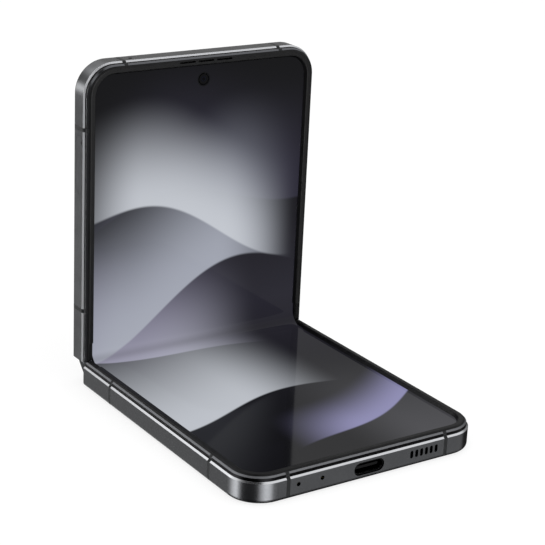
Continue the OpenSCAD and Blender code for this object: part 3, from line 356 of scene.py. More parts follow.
def litPicture(tree, place):
    # The picture's colour at (x, s): the ground's ramp along s, then each ribbon laid over it, painted shade
    # along the fold, and black outside the rounded active area and round the front camera
    v = screen
    spot = addNode(tree, "SeparateXYZ", (place,))
    x, s = spot.outputs["X"], spot.outputs["Y"]
    along = addNode(tree, "MapRange", (s, -v["groundReach"], v["groundReach"]))
    colour = addNode(tree, "ValToRGB", (along,), stops=v["ground"])
    for ribbon in v["ribbons"]:
        amount = ribbonAmount(tree, x, s, ribbon)
        colour = addNode(tree, "Mix", (amount, colour, ribbon["colour"]), **ofColours)
    fromFold = addNode(tree, "Math", (s,), operation="ABSOLUTE")
    # Painted shade: the picture darkens towards black near the fold
    creaseShading = addNode(tree, "MapRange", (fromFold, 0.0, v["crease"], v["creaseShade"], 0.0), **eased)
    colour = addNode(tree, "Mix", (creaseShading, colour, v["black"]), **ofColours)
    flat = addNode(tree, "VectorMath", (place, (1, 1, 0)), operation="MULTIPLY")
    corner, blur = v["activeCorner"], v["activeBlur"]
    outside = outsideBox(tree, flat, (v["activeHalfWidth"] - corner, v["activeHalfLength"] - corner, 0))
    active = addNode(tree, "MapRange", (outside, corner - blur, corner + blur, 1.0, 0.0), **eased)
    fromCamera = addNode(tree, "VectorMath", (flat, (0, v["cameraFromFold"], 0)), operation="DISTANCE")
    border, blur = v["cameraBorder"], v["cameraBlur"]
    clear = addNode(tree, "MapRange", (fromCamera, border - blur, border + blur), **eased)
    lit = addNode(tree, "Math", (active, clear), operation="MULTIPLY")
    return addNode(tree, "Mix", (lit, v["black"], colour), **ofColours)


def foldingScreen(name, findPlace):
    # Folding display panel under its soft cover film: a lit picture behind a smooth film that mirrors
    # very little face on and more at a low angle, with the film's faint ripple
    material, tree = newMaterial("coverFilm" + name, {
        "Base Color": screen["black"], "Roughness": 0.07, "IOR": 1.17, "Emission Strength": 1.0,
    })
    place = findPlace(tree)
    ripple = grain(tree, place, screen["ripple"], detail=0.0)
    return dressSurface(material, {"Emission Color": litPicture(tree, place)}, ripple,
                        screen["rippleDepth"], screen["rippleStrength"])


# The picture runs on from one half to the other, s being below zero on the lower half
paint("display_lower", foldingScreen("Lower", lambda tree: inMillimetres(tree, halves["Lower"]["origin"])))
paint("display_upper", foldingScreen("Upper", lambda tree: inMillimetres(tree, **halves["Upper"])))

foldStrip = {
    "bendRadius": 3.787,  # mm, picture side of the bend
    "acrossSteps": 28,
    "straightSteps": 5,
    "bendSteps": 14,
    "sharpFrom": 40,  # degrees between faces from which an edge is drawn sharp
}
# Each half of the strip turns through an eighth of a circle, after a run that is straight to flatEnd,
# in mm from the fold's centre
eighthTurn = pi / 4
flatEnd = foldStrip["bendRadius"] - (upperAxis.y - foldY - phone["screenHeight"] + phone["axisHeight"])
stripFinish = foldingScreen(
    "Fold", lambda tree: addNode(tree, "Attribute", attribute_name="screenPlace").outputs["Vector"])


def halfStrip(name, towardsUpper):
    # Half of the folding strip, from its glued end to the bend's middle. The section's front line is a
    # straight run and then an eighth of a circle about the bend's centre; its back line lies a panel's
    # thickness behind it along the normal. The loop of both is carried across the phone on a grid
    # (x, place on the loop) and the two sides are closed by quads between front and back.
    v = foldStrip
    radius, thick = v["bendRadius"], phone["screenThickness"]
    centreY, centreZ = -flatEnd, phone["screenHeight"] + radius
    run = np.linspace(phone["glueLine"], flatEnd, v["straightSteps"] + 1)[:-1]
    turn = np.linspace(0, eighthTurn, v["bendSteps"] + 1)
    y = np.concatenate([-run, centreY + radius * np.sin(turn)])
    z = np.concatenate([np.full(run.shape, phone["screenHeight"]), centreZ - radius * np.cos(turn)])
    normalY = np.concatenate([np.zeros(run.shape), -np.sin(turn)])
    normalZ = np.concatenate([np.ones(run.shape), np.cos(turn)])
    s = np.concatenate([-run, -flatEnd * (1 - turn / eighthTurn)])
    loopY = np.concatenate([y, (y - normalY * thick)[::-1]])
    loopZ = np.concatenate([z, (z - normalZ * thick)[::-1]])
    loopS = np.concatenate([s, s[::-1]])
    if towardsUpper:  # mirrored in the spine's middle plane, which swaps the two halves
        middle = (lowerAxis + upperAxis) / 2
        mirrorSum = 2 * (middle.y - foldY + middle.z)
        loopY, loopZ = mirrorSum / 2 - loopZ, mirrorSum / 2 - loopY
        loopS = -loopS
    across = np.linspace(-phone["screenHalfWidth"], phone["screenHalfWidth"], v["acrossSteps"] + 1)
    count, ring = len(across), len(loopY)
    points = np.empty((count, ring, 3))
    points[..., 0] = across[:, None]
    points[..., 1] = loopY + foldY
    points[..., 2] = loopZ
    column, around = np.meshgrid(np.arange(count - 1), np.arange(ring), indexing="ij")
    here, there = column * ring, (column + 1) * ring
    after = (around + 1) % ring
    skin = np.stack([here + around, here + after, there + after, there + around], -1)
    step = np.arange(ring // 2 - 1)
    side = np.stack([step, ring - 1 - step, ring - 2 - step, step + 1], -1)
    faces = np.concatenate([skin.reshape(-1, 4), side, side[:, ::-1] + (count - 1) * ring])
    if towardsUpper:
        faces = faces[:, ::-1]
    mesh = bpy.data.meshes.new(name)
    mesh.from_pydata((points.reshape(-1, 3) / 1000).tolist(), [], faces.tolist())
    marks = np.zeros((count, ring, 3))
    marks[..., 0] = across[:, None]
    marks[..., 1] = loopS
    mesh.attributes.new("screenPlace", "FLOAT_VECTOR", "POINT").data.foreach_set("vector", marks.ravel())
    mesh.shade_smooth()
    mesh.set_sharp_from_angle(angle=radians(v["sharpFrom"]))
    mesh.materials.append(stripFinish)
    strip = bpy.data.objects.new(name, mesh)
    bpy.context.scene.collection.objects.link(strip)
    return strip


# Both halves of the folding strip, the upper one mirrored in the spine's middle plane
stripLower = halfStrip("displayStripLower", False)
stripUpper = halfStrip("displayStripUpper", True)
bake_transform(stripLower)
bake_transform(stripUpper)
for strip in (stripLower, stripUpper):
    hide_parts("display_fold")
print("display and its folding strip made")

coverGlass = {
    "ink": "#0a0a0b",
    "window": "#15161a",
    # The cover display's window, in mm in the upper half's frame
    "halfWidth": 30.0,
    "from": 14.0,
    "to": 76.6,
    "corner": 4.0,
    "blur": 0.15,
    "anyDepth": 50.0,  # more than the phone's thickness
    "polish": 8.0,  # mm from one faint polishing mark to the next
    "roughness": (0.035, 0.075),
}


def polishedCover():
    # Polished aluminosilicate cover over black ink: piano gloss, with the switched-off cover display
    # just visible as a slightly greyer window. The window reaches corner mm beyond its inner box
    v = coverGlass
    material, tree = newMaterial("polishedCoverGlass", {"IOR": 1.51})
    place = inMillimetres(tree, **halves["Upper"])
    centred = addNode(tree, "VectorMath", (place, (0, (v["from"] + v["to"]) / 2, 0)), operation="SUBTRACT")
    innerBox = (v["halfWidth"] - v["corner"], (v["to"] - v["from"]) / 2 - v["corner"], v["anyDepth"])
    outside = outsideBox(tree, centred, innerBox)
    window = addNode(tree, "MapRange", (outside, v["corner"] - v["blur"], v["corner"], 1.0, 0.0), **eased)
    colour = addNode(tree, "Mix", (window, v["ink"], v["window"]), **ofColours)
    rough = grain(tree, place, v["polish"], *v["roughness"])
    return dressSurface(material, {"Base Color": colour, "Roughness": rough})


paint("cover_glass", polishedCover())

# Rings of colour from the middle outwards, radius in mm: a black pupil, the dark barrel, and lighter rings between
# that are painted reflections of the lens elements inside
lenses = {
    "rear": [(0.0, "#050507"), (1.3, "#0a0b12"), (1.7, "#1b2338"), (2.2, "#0c0f18"), (2.6, "#26243a"),
             (3.0, "#0b0b0e"), (3.9, "#151518"), (4.1, "#2a2a2d"), (4.3, "#0c0c0d")],
    "rearRim": "#070708",
    "front": [(0.0, "#020203"), (0.45, "#050508"), (0.6, "#0f1220"), (0.8, "#060608"), (1.15, "#101012"),
              (1.3, "#070708"), (4.0, "#070708")],
    "polish": 3.0,  # mm
    "roughness": (0.03, 0.07),
}


def fromNearerCentre(tree, centre, pitch):
    # Place in mm and distance to the nearer of two centres that stand pitch apart: X is folded about
    # the middle, so that both fall on pitch / 2
    place = inMillimetres(tree, centre)
    parts = addNode(tree, "SeparateXYZ", (place,))
    mirrored = addNode(tree, "Math", (parts.outputs["X"],), operation="ABSOLUTE")
    folded = addNode(tree, "Math", (mirrored, pitch / 2), operation="SUBTRACT")
    flat = addNode(tree, "CombineXYZ", (folded, parts.outputs["Z"]))
    return place, addNode(tree, "VectorMath", (flat,), operation="LENGTH")


def ringedLens(name, centre, pitch, rings, values):
    # Coated optics behind glass: colour runs in rings from a black pupil out to the dark barrel, a ramp
    # along the distance from the centre over the widest ring; its lighter rings are painted reflections
    material, tree = newMaterial(name, values)
    place, radius = fromNearerCentre(tree, centre, pitch)
    widest = rings[-1][0]
    share = addNode(tree, "Math", (radius, widest), operation="DIVIDE")
    colour = addNode(tree, "ValToRGB", (share,), stops=[(size / widest, code) for size, code in rings])
    rough = grain(tree, place, lenses["polish"], *lenses["roughness"])
    return dressSurface(material, {"Base Color": colour, "Roughness": rough})


centre, size = boxInMillimetres("camera_lenses")
rearRadius = size.z / 2
paint("camera_lenses", ringedLens(
    "coatedLens", (centre.x, 0, centre.z), size.x - 2 * rearRadius,
    lenses["rear"] + [(rearRadius, lenses["rearRim"])],
    {"IOR": 1.52, "Coat Weight": 1.0, "Coat Roughness": 0.02, "Thin Film Thickness": 380.0, "Thin Film IOR": 1.38}))
centre, size = boxInMillimetres("front_camera")
paint("front_camera", ringedLens("frontLens", (0, 0, centre.z), 0.0, lenses["front"], {"IOR": 1.15}))

cameraRing = {"dark": "#4d4f53", "light": "#64666b", "cutsPerMm": 6.0, "roughness": (0.2, 0.36), "depth": 0.006}


def spunRing():
    # Anodised aluminium camera rings turned on a lathe: hair-fine circular cuts in a graphite satin,
    # noise along the distance from the nearer ring's centre
    v = cameraRing
    centre, size = boxInMillimetres("camera_rings")
    material, tree = newMaterial("turnedAnodised", {"Metallic": 1.0})
    radius = fromNearerCentre(tree, (centre.x, 0, centre.z), size.x - size.z)[1]
    cuts = addNode(tree, "TexNoise", {"W": radius, "Scale": v["cutsPerMm"], "Detail": 3.0}, noise_dimensions="1D")
    colour = addNode(tree, "Mix", (cuts, v["dark"], v["light"]), **ofColours)
    rough = addNode(tree, "MapRange", (cuts, *noiseMiddle, *v["roughness"]), **eased)
    return dressSurface(material, {"Base Color": colour, "Roughness": rough}, cuts, v["depth"])


paint("camera_rings", spunRing())

flash = {
    "middle": "#f3e9a8",
    "edge": "#e6e2cf",
    "yellowTo": (0.4, 1.2),  # mm from the centre, over which the phosphor's yellow gives way
    "ribPitch": 0.28,  # mm
    "ribDepth": 0.08,
}


def ribbedDiffuser():
    # Polycarbonate flash cover: milky pale yellow over the phosphor, cut with circular lens ribs, each a
    # sawtooth of the distance from the centre
    v = flash
    centre, size = boxInMillimetres("flash_lens")
    material, tree = newMaterial("ribbedDiffuser", {
        "Roughness": 0.25, "IOR": 1.58, "Subsurface Weight": 0.3, "Subsurface Radius": (0.001, 0.0008, 0.0005),
    })
    place = inMillimetres(tree, (centre.x, 0, centre.z))
    radius = distanceFrom(tree, place, (1, 0, 1))
    turns = addNode(tree, "Math", (radius, v["ribPitch"]), operation="DIVIDE")
    ribs = addNode(tree, "Math", (turns,), operation="FRACT")
    paler = addNode(tree, "MapRange", (radius, *v["yellowTo"]), **eased)
    colour = addNode(tree, "Mix", (paler, v["middle"], v["edge"]), **ofColours)
    return dressSurface(material, {"Base Color": colour}, ribs, v["ribDepth"])


paint("flash_lens", ribbedDiffuser())
print("glass, lenses and flash finished")

sideKeys = {
    "dark": "#505153",
    "light": "#58595b",
    "line": 0.3,  # mm across; real brush lines are about 0.03 mm, drawn coarser so that they show
    "stretch": (1, 0.06, 1),  # pulled out along the side
    "roughness": (0.21, 0.27),
    "depth": 0.0004,
}


def satinKey():
    # Anodised aluminium keys and tray, brushed lengthwise: the frame's graphite with faint lines along the
    # side; colour, roughness and relief all follow one stretched noise
    v = sideKeys
    material, tree = newMaterial("brushedAnodised", {"Metallic": 1.0})
    place = inMillimetres(tree, **halves["Upper"])
    lines = grain(tree, place, v["line"], stretch=v["stretch"])
    colour = addNode(tree, "Mix", (lines, v["dark"], v["light"]), **ofColours)
    rough = addNode(tree, "MapRange", (lines, 0.0, 1.0, *v["roughness"]), **eased)
    return dressSurface(material, {"Base Color": colour, "Roughness": rough}, lines, v["depth"])


paint("sim_tray power_key volume_key", satinKey())

port = {
    # Painted shade and highlight: the shell near-black and darker deeper in for the shade inside the opening, and a
    # bright painted highlight on the mouth's lower edge
    "shell": "#0c0c0d",
    "shellDeep": "#040405",
    "lipHighlight": "#c4c5c8",
    "deepShadeAt": 0.9,  # mm in from the port's mouth
    "lipHighlightTo": (0.5, 0.7),
    "lipHighlightFacing": (0.3, 0.5),  # rise of the normal from which a face belongs to the lip
    "shellGrain": 0.6,
    "shellRoughness": (0.2, 0.34),
    "tongue": "#050506",
    "contact": "#a8843f",
    "contactPitch": 0.5,  # mm
    "contactShare": (0.25, 0.75),  # of a pitch, from where to where the gold lies
    "contactFrom": 1.4,  # mm in from the tongue's tip
    "contactFacing": 0.8,
    "tongueRoughness": (0.45, 0.22),  # of the plastic and of the gold
}


def platedShell():
    # Plated stainless shell of the port, painted near-black and darker down inside as painted shade, with a
    # painted highlight on its lower edge at the mouth, where faces look up within the given reach of the mouth
    v = port
    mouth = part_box("usb_receptacle")[0].y * 1000
    material, tree = newMaterial("portPlatePaintedShade", {"Metallic": 1.0})
    place = inMillimetres(tree)
    depth = addNode(tree, "SeparateXYZ", (place,)).outputs["Y"]
    # Painted shade, darker deeper into the port
    deepShade = addNode(tree, "MapRange", (depth, mouth, mouth + v["deepShadeAt"]), **eased)
    inside = addNode(tree, "Mix", (deepShade, v["shell"], v["shellDeep"]), **ofColours)
    normal = addNode(tree, "TexCoord").outputs["Normal"]
    rise = addNode(tree, "SeparateXYZ", (normal,)).outputs["Z"]
    upward = addNode(tree, "MapRange", (rise, *v["lipHighlightFacing"]), **eased)
    highlightStart, highlightEnd = (mouth + far for far in v["lipHighlightTo"])
    near = addNode(tree, "MapRange", (depth, highlightStart, highlightEnd, 1.0, 0.0), **eased)
    # Painted highlight on upward faces near the mouth
    lipHighlight = addNode(tree, "Math", (upward, near), operation="MULTIPLY")
    colour = addNode(tree, "Mix", (lipHighlight, inside, v["lipHighlight"]), **ofColours)
    rough = grain(tree, place, v["shellGrain"], *v["shellRoughness"])
    return dressSurface(material, {"Base Color": colour, "Roughness": rough})


def contactTongue():
    # Liquid-crystal polymer tongue, black, with gold contact strips on both faces: gold where the
    # fraction of x over the pitch lies in contactShare, on faces that look up or down, behind the tip
    v = port
    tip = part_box("usb_tongue")[0].y * 1000
    material, tree = newMaterial("contactTongue", {"IOR": 1.6, "Specular IOR Level": 0.06})
    parts = addNode(tree, "SeparateXYZ", (inMillimetres(tree),))
    shifted = addNode(tree, "Math", (parts.outputs["X"], 20.0), operation="ADD")  # keeps x above zero
    pitches = addNode(tree, "Math", (shifted, v["contactPitch"]), operation="DIVIDE")
    beat = addNode(tree, "Math", (pitches,), operation="FRACT")
    normal = addNode(tree, "TexCoord").outputs["Normal"]
    rise = addNode(tree, "SeparateXYZ", (normal,)).outputs["Z"]
    steepness = addNode(tree, "Math", (rise,), operation="ABSOLUTE")
    gold = addNode(tree, "Math", (beat, v["contactShare"][0]), operation="GREATER_THAN")
    for condition in (
        addNode(tree, "Math", (beat, v["contactShare"][1]), operation="LESS_THAN"),
        addNode(tree, "Math", (steepness, v["contactFacing"]), operation="GREATER_THAN"),
        addNode(tree, "Math", (parts.outputs["Y"], tip + v["contactFrom"]), operation="GREATER_THAN"),
    ):
        gold = addNode(tree, "Math", (gold, condition), operation="MULTIPLY")
    colour = addNode(tree, "Mix", (gold, v["tongue"], v["contact"]), **ofColours)
    rough = addNode(tree, "MapRange", (gold, 0.0, 1.0, *v["tongueRoughness"]), **eased)
    return dressSurface(material, {"Base Color": colour, "Metallic": gold, "Roughness": rough})


speakerMesh = {"dark": "#0b0b0c", "light": "#26272a", "thread": 0.3, "depth": 0.05}  # thread: mm apart


def wovenMesh():
    # Acoustic mesh of woven polyester: black plain weave at 0.12 mm, drawn at 0.3 mm so that it shows.
    # Weave = |sin(pi x/thread) sin(pi z/thread)|
    v = speakerMesh
    material, tree = newMaterial("wovenPolyester", {"Roughness": 0.7, "IOR": 1.55})
    parts = addNode(tree, "SeparateXYZ", (inMillimetres(tree),))
    warp, weft = (addNode(tree, "Math", (
        addNode(tree, "Math", (parts.outputs[axis], pi / v["thread"]), operation="MULTIPLY"),
    ), operation="SINE") for axis in "XZ")
    crossing = addNode(tree, "Math", (warp, weft), operation="MULTIPLY")
    weave = addNode(tree, "Math", (crossing,), operation="ABSOLUTE")
    colour = addNode(tree, "Mix", (weave, v["dark"], v["light"]), **ofColours)
    return dressSurface(material, {"Base Color": colour}, weave, v["depth"])


paint("usb_receptacle", platedShell())
paint("usb_tongue", contactTongue())
paint("speaker_mesh", wovenMesh())
print("keys and ports finished")

# Bare and plated metals inside: two close shades; grain in mm, pulled out by stretch along the working
# direction; depth in mm. Real rolling and sintering grains are about 0.02 mm, drawn coarser so that they show
innerMetals = {
    # Stamped stainless strip: cool grey with long rolling lines across the phone
    "stampedStainless": {
        "nodes": "lower_arms upper_arms lower_wing_plate upper_wing_plate gear_plates hinge_blocks",
        "dark": "#7f8285", "light": "#a0a3a6", "roughness": (0.26, 0.4),
        "grain": 0.3, "stretch": (0.08, 1, 1), "depth": 0.004},
    # Drawn tin-plated cans: softer, paler, with faint blotches of solder heat
    "tinPlate": {
        "nodes": "shield_cans sim_reader vibration_motor key_switches",
        "dark": "#9a9c9c", "light": "#b9baba", "roughness": (0.32, 0.46),
        "grain": 1.6, "stretch": (1, 1, 1), "depth": 0.003},
    # Turned and tumbled hard steel: bright, with a fine even grain
    "turnedSteel": {
        "nodes": "lower_arm_screws upper_arm_screws block_screws hinge_pins friction_washers",
        "dark": "#b3b4b6", "light": "#d0d1d3", "roughness": (0.18, 0.32),
        "grain": 0.25, "stretch": (1, 1, 1), "depth": 0.003},
    # Sintered steel, steam-treated: blue-grey, open-grained and dull
    "sinteredSteel": {
        "nodes": "lower_pinion_left lower_pinion_right upper_pinion_left upper_pinion_right",
        "dark": "#4b4e53", "light": "#5d6065", "roughness": (0.34, 0.48),
        "grain": 0.2, "stretch": (1, 1, 1), "depth": 0.01},
    # Anodised spine cover, drawn and brushed along the fold: dark graphite with long fine lines
    "brushedSpine": {
        "nodes": "spine_cover",
        "dark": "#505257", "light": "#616368", "roughness": (0.24, 0.38),
        "grain": 0.25, "stretch": (0.05, 1, 1), "depth": 0.004},
    # Its end caps, black-anodised after blasting: near-black satin that keeps the fold's corners dark
    "blackAnodised": {
        "nodes": "spine_end_caps",
        "dark": "#1e1f21", "light": "#2a2b2d", "roughness": (0.34, 0.48),
        "grain": 0.4, "stretch": (1, 1, 1), "depth": 0.004},
    # Gold-plated microphone cans: warm yellow, smooth
    "goldPlate": {
        "nodes": "bottom_microphones",
        "dark": "#c8a85a", "light": "#dcbf74", "roughness": (0.19, 0.33),
        "grain": 0.5, "stretch": (1, 1, 1), "depth": 0.002},
}


metalBlotch = 4.0  # mm, size of the faint blotches on all of them


def patternedMetal(name, v):
    # Colour follows the mean of the working lines and the blotches; roughness and relief follow the lines
    material, tree = newMaterial(name, {"Metallic": 1.0})
    place = inMillimetres(tree)
    lines = grain(tree, place, v["grain"], stretch=v["stretch"], detail=3.0)
    blotch = grain(tree, place, metalBlotch)
    both = addNode(tree, "Math", (lines, blotch), operation="ADD")
    shade = addNode(tree, "Math", (both, 0.5), operation="MULTIPLY")
    colour = addNode(tree, "Mix", (shade, v["dark"], v["light"]), **ofColours)
    rough = addNode(tree, "MapRange", (lines, 0.0, 1.0, *v["roughness"]), **eased)
    return dressSurface(material, {"Base Color": colour, "Roughness": rough}, lines, v["depth"])


for name, metal in innerMetals.items():
    paint(metal["nodes"], patternedMetal(name, metal))

# Black moulded or pressed parts inside, mottled at skin mm, with a skin of the same size
innerBlacks = {
    # Glass-filled nylon housings: satin black with a moulded skin
    "mouldedNylon": {
        "nodes": "loudspeaker earpiece rear_cameras",
        "dark": "#19191a", "light": "#262729", "roughness": (0.4, 0.53), "skin": 0.6, "depth": 0.01},
    # Epoxy chip package: flat charcoal, sand-like and dry
    "epoxyPackage": {
        "nodes": "processor",
        "dark": "#2b2b2c", "light": "#363637", "roughness": (0.55, 0.68), "skin": 0.25, "depth": 0.006},
    # Back of the cover display: black copper-foil tape, fairly smooth
    "foilTape": {
        "nodes": "cover_display",
        "dark": "#1b1c1f", "light": "#2c2d31", "roughness": (0.3, 0.43), "skin": 3.0, "depth": 0.01},
    # Ferrite sheet cracked into small plates under its film: near black, faintly glittering
    "ferriteSheet": {
        "nodes": "ferrite_sheet",
        "dark": "#1e1e20", "light": "#34353a", "roughness": (0.25, 0.38), "skin": 1.5, "depth": 0.02},
}


def mouldedPart(name, v):
    # Colour, roughness and relief all follow one noise at skin mm
    material, tree = newMaterial(name, {"IOR": 1.55})
    skin = grain(tree, inMillimetres(tree), v["skin"])
    colour = addNode(tree, "Mix", (skin, v["dark"], v["light"]), **ofColours)
    rough = addNode(tree, "MapRange", (skin, 0.0, 1.0, *v["roughness"]), **eased)
    return dressSurface(material, {"Base Color": colour, "Roughness": rough}, skin, v["depth"])


for name, part in innerBlacks.items():
    paint(part["nodes"], mouldedPart(name, part))

battery = {
    "print": "#3a3c40",
    "fold": "#6a6d72",
    "creasesPerMm": 0.22,
    "creaseWidth": 0.12,  # as a share of a crinkle's size
    "swell": 5.0,  # mm from one soft swelling to the next
    "depth": 0.05,
}


def foilPouch():
    # Aluminium-laminate battery pouch in black print, through which the foil half shows: crinkled, and
    # brighter on its folds, which are the edges of a cell pattern; the relief is folds plus a soft swelling
    v = battery
    material, tree = newMaterial("laminateFoil", {"Metallic": 0.7, "Roughness": 0.4})
    place = inMillimetres(tree)
    cells = addNode(tree, "TexVoronoi", {"Vector": place, "Scale": v["creasesPerMm"]}, feature="DISTANCE_TO_EDGE")
    fold = addNode(tree, "MapRange", (cells, 0.0, v["creaseWidth"], 1.0, 0.0), **eased)
    colour = addNode(tree, "Mix", (fold, v["print"], v["fold"]), **ofColours)
    height = addNode(tree, "Math", (fold, grain(tree, place, v["swell"])), operation="ADD")
    return dressSurface(material, {"Base Color": colour}, height, v["depth"])


board = {
    "mask": "#0d3a26",
    "overCopper": "#1c6b45",
    "pad": "#b5b6b2",
    "tracesPerMm": 0.9,
    "traceFold": 0.08,  # the squared cell distance is folded back and forth at this height
    "traceEdge": (0.02, 0.05),
    "padPitch": (1.1, 0.9),  # mm along and across a row
    "padGap": 0.3,
    "padArea": 6.0,  # mm, size of the areas that carry pads
    "padSpread": (-0.4, 1.0),  # what the noise of those areas is eased to
    "padFrom": 0.6,  # the value of it from which there are pads
    "depth": 0.03,
}


def solderMask():
    # Circuit board under green solder mask: darker where there is no copper, with rows of tinned pads.
    # Traces follow a folded square cell distance; pads are bricks where a slow noise is above padFrom
    v = board
    material, tree = newMaterial("solderMask", {"Roughness": 0.3, "IOR": 1.5})
    place = inMillimetres(tree)
    cells = addNode(tree, "TexVoronoi", {"Vector": place, "Scale": v["tracesPerMm"]}, distance="CHEBYCHEV")
    folded = addNode(tree, "Math", (cells.outputs["Distance"], v["traceFold"]), operation="PINGPONG")
    traces = addNode(tree, "MapRange", (folded, *v["traceEdge"]), **eased)
    bricks = addNode(tree, "TexBrick", {
        "Vector": place, "Scale": 1.0, "Mortar Size": v["padGap"],
        "Brick Width": v["padPitch"][0], "Row Height": v["padPitch"][1],
    })
    brick = addNode(tree, "Math", (1.0, bricks.outputs["Fac"]), operation="SUBTRACT")
    area = grain(tree, place, v["padArea"], *v["padSpread"], detail=0.0)
    populated = addNode(tree, "Math", (area, v["padFrom"]), operation="GREATER_THAN")
    pad = addNode(tree, "Math", (brick, populated), operation="MULTIPLY")
    green = addNode(tree, "Mix", (traces, v["mask"], v["overCopper"]), **ofColours)
    colour = addNode(tree, "Mix", (pad, green, v["pad"]), **ofColours)
    height = addNode(tree, "Math", (traces, pad), operation="ADD")
    return dressSurface(material, {"Base Color": colour, "Metallic": pad}, height, v["depth"])


coil = {"gap": "#4a1f0e", "wire": "#c8754a", "pitch": 0.9, "gapEdge": (0.1, 0.6), "depth": 0.12}  # pitch: mm


def woundCopper():
    # Litz charging coil, wound flat: copper turns with dark gaps of enamel between them,
    # wire = |sin(pi radius/pitch)|
    v = coil
    centre, size = boxInMillimetres("charging_coil")
    material, tree = newMaterial("enamelledCopper", {"Metallic": 1.0, "Roughness": 0.32})
    radius = distanceFrom(tree, inMillimetres(tree, centre), (1, 1, 0))
    angle = addNode(tree, "Math", (radius, pi / v["pitch"]), operation="MULTIPLY")
    sine = addNode(tree, "Math", (angle,), operation="SINE")
    wire = addNode(tree, "Math", (sine,), operation="ABSOLUTE")
    copper = addNode(tree, "MapRange", (wire, *v["gapEdge"]), **eased)
    colour = addNode(tree, "Mix", (copper, v["gap"], v["wire"]), **ofColours)
    return dressSurface(material, {"Base Color": colour}, wire, v["depth"])


paint("lower_battery upper_battery", foilPouch())
paint("lower_board main_board", solderMask())
paint("charging_coil", woundCopper())
print("hinge and inner parts finished")

floor = {
    "colour": "#f4f4f4",
    "halfSize": 3.0,  # m
    "height": -0.0001,
    "glow": 0.72,  # share of what the camera sees that is plain white
    "white": 1.1,  # strength of that white
}


def paleFloor():
    # A pale matt sweep. The camera sees mostly plain white and a little of the lit floor, which keeps the
    # phone's shadow; glass sees plain white, and mirrors look through it at the studio all round
    v = floor
    half = v["halfSize"]
    corners = [(-half, -half), (half, -half), (half, half), (-half, half)]
    mesh = bpy.data.meshes.new("floor")
    mesh.from_pydata([(x, y, v["height"]) for x, y in corners], [], [(0, 1, 2, 3)])
    sweep = bpy.data.objects.new("floor", mesh)
    bpy.context.scene.collection.objects.link(sweep)
    material = bpy.data.materials.new("paleSweep")
    material.use_nodes = True
    tree = material.node_tree
    tree.nodes.clear()
    path = addNode(tree, "LightPath")
    matt = addNode(tree, "BsdfDiffuse", {"Color": v["colour"]})
    white = addNode(tree, "Emission", {"Color": "#ffffff", "Strength": v["white"]})
    seen = addNode(tree, "Math", (path.outputs["Is Camera Ray"], v["glow"]), operation="MULTIPLY")
    seen = addNode(tree, "Math", (path.outputs["Is Transmission Ray"], seen), operation="MAXIMUM")
    shown = addNode(tree, "MixShader", (seen, matt, white))
    through = addNode(tree, "BsdfTransparent")
    surface = addNode(tree, "MixShader", (path.outputs["Is Glossy Ray"], shown, through))
    addNode(tree, "OutputMaterial", {"Surface": surface})
    mesh.materials.append(material)


surround = {
    "level": 0.62,  # what lights matt surfaces, as a share of plain white
    "boxes": 8.0,  # what mirrors see where a wall's grey is white, as a multiple of plain white
    "ceiling": 1.25,  # and what they see overhead
    # Soft boxes and the dark gaps between them, as metal shows them: degrees round from the front
    # towards the right, and grey levels
    "walls": [(-180, "#464646"), (-160, "#494949"), (-138, "#4e4e4e"), (-120, "#c8c8c8"), (-104, "#f4f4f4"),
              (-93, "#888888"), (-84, "#2a2a2a"), (-46, "#262626"), (-32, "#303030"), (-20, "#b0b0b0"),
              (-4, "#f0f0f0"), (10, "#dcdcdc"), (22, "#6c6c6c"), (30, "#585858"), (40, "#5e5e5e"),
              (62, "#5c5c5c"), (90, "#383838"), (145, "#383838"), (180, "#464646")],
    # Bright and dark cards in front of walls and ceiling: each multiplies what mirrors see between two
    # elevations (low to high, softened over edge), within reach of an azimuth; all in degrees
    "cards": [
        {"azimuth": -143, "reach": 14, "low": -6, "high": 7, "edge": 5, "factor": 6.0},
        {"azimuth": -140, "reach": 9, "low": 15, "high": 25, "edge": 4, "factor": 0.04},
        {"azimuth": 104, "reach": 26, "low": -90, "high": -2, "edge": 8, "factor": 0.15},
        {"azimuth": 164, "reach": 26, "low": -90, "high": -6, "edge": 6, "factor": 4.0},
        {"azimuth": -156, "reach": 18, "low": 26, "high": 60, "edge": 4, "factor": 1.6},
        {"azimuth": -65, "reach": 58, "low": 50, "high": 100, "edge": 5, "factor": 0.02},
        {"azimuth": 0, "reach": 200, "low": 76, "high": 100, "edge": 5, "factor": 0.1},
        {"azimuth": 0, "reach": 200, "low": -90, "high": -40, "edge": 10, "factor": 0.08},
    ],
    "cardSideEdge": 6,  # degrees to either side of a card's reach over which it fades
    "ceilingFrom": (20.0, 31.0),  # degrees above the horizon over which the walls give way to the ceiling
}


def cardShade(tree, turned, raised, v):
    # What a card multiplies by: 1 off it, factor on it, eased over its four edges
    offMiddle = addNode(tree, "Math", (turned, v["azimuth"]), operation="SUBTRACT")
    aside = addNode(tree, "Math", (offMiddle,), operation="ABSOLUTE")
    reach, side, edge = v["reach"], surround["cardSideEdge"], v["edge"]
    within = addNode(tree, "MapRange", (aside, reach - side, reach + side, 1.0, 0.0), **eased)
    above = addNode(tree, "MapRange", (raised, v["low"] - edge, v["low"] + edge), **eased)
    below = addNode(tree, "MapRange", (raised, v["high"] - edge, v["high"] + edge, 1.0, 0.0), **eased)
    between = addNode(tree, "Math", (above, below), operation="MULTIPLY")
    onCard = addNode(tree, "Math", (within, between), operation="MULTIPLY")
    return addNode(tree, "Mix", (onCard, 1.0, v["factor"]))


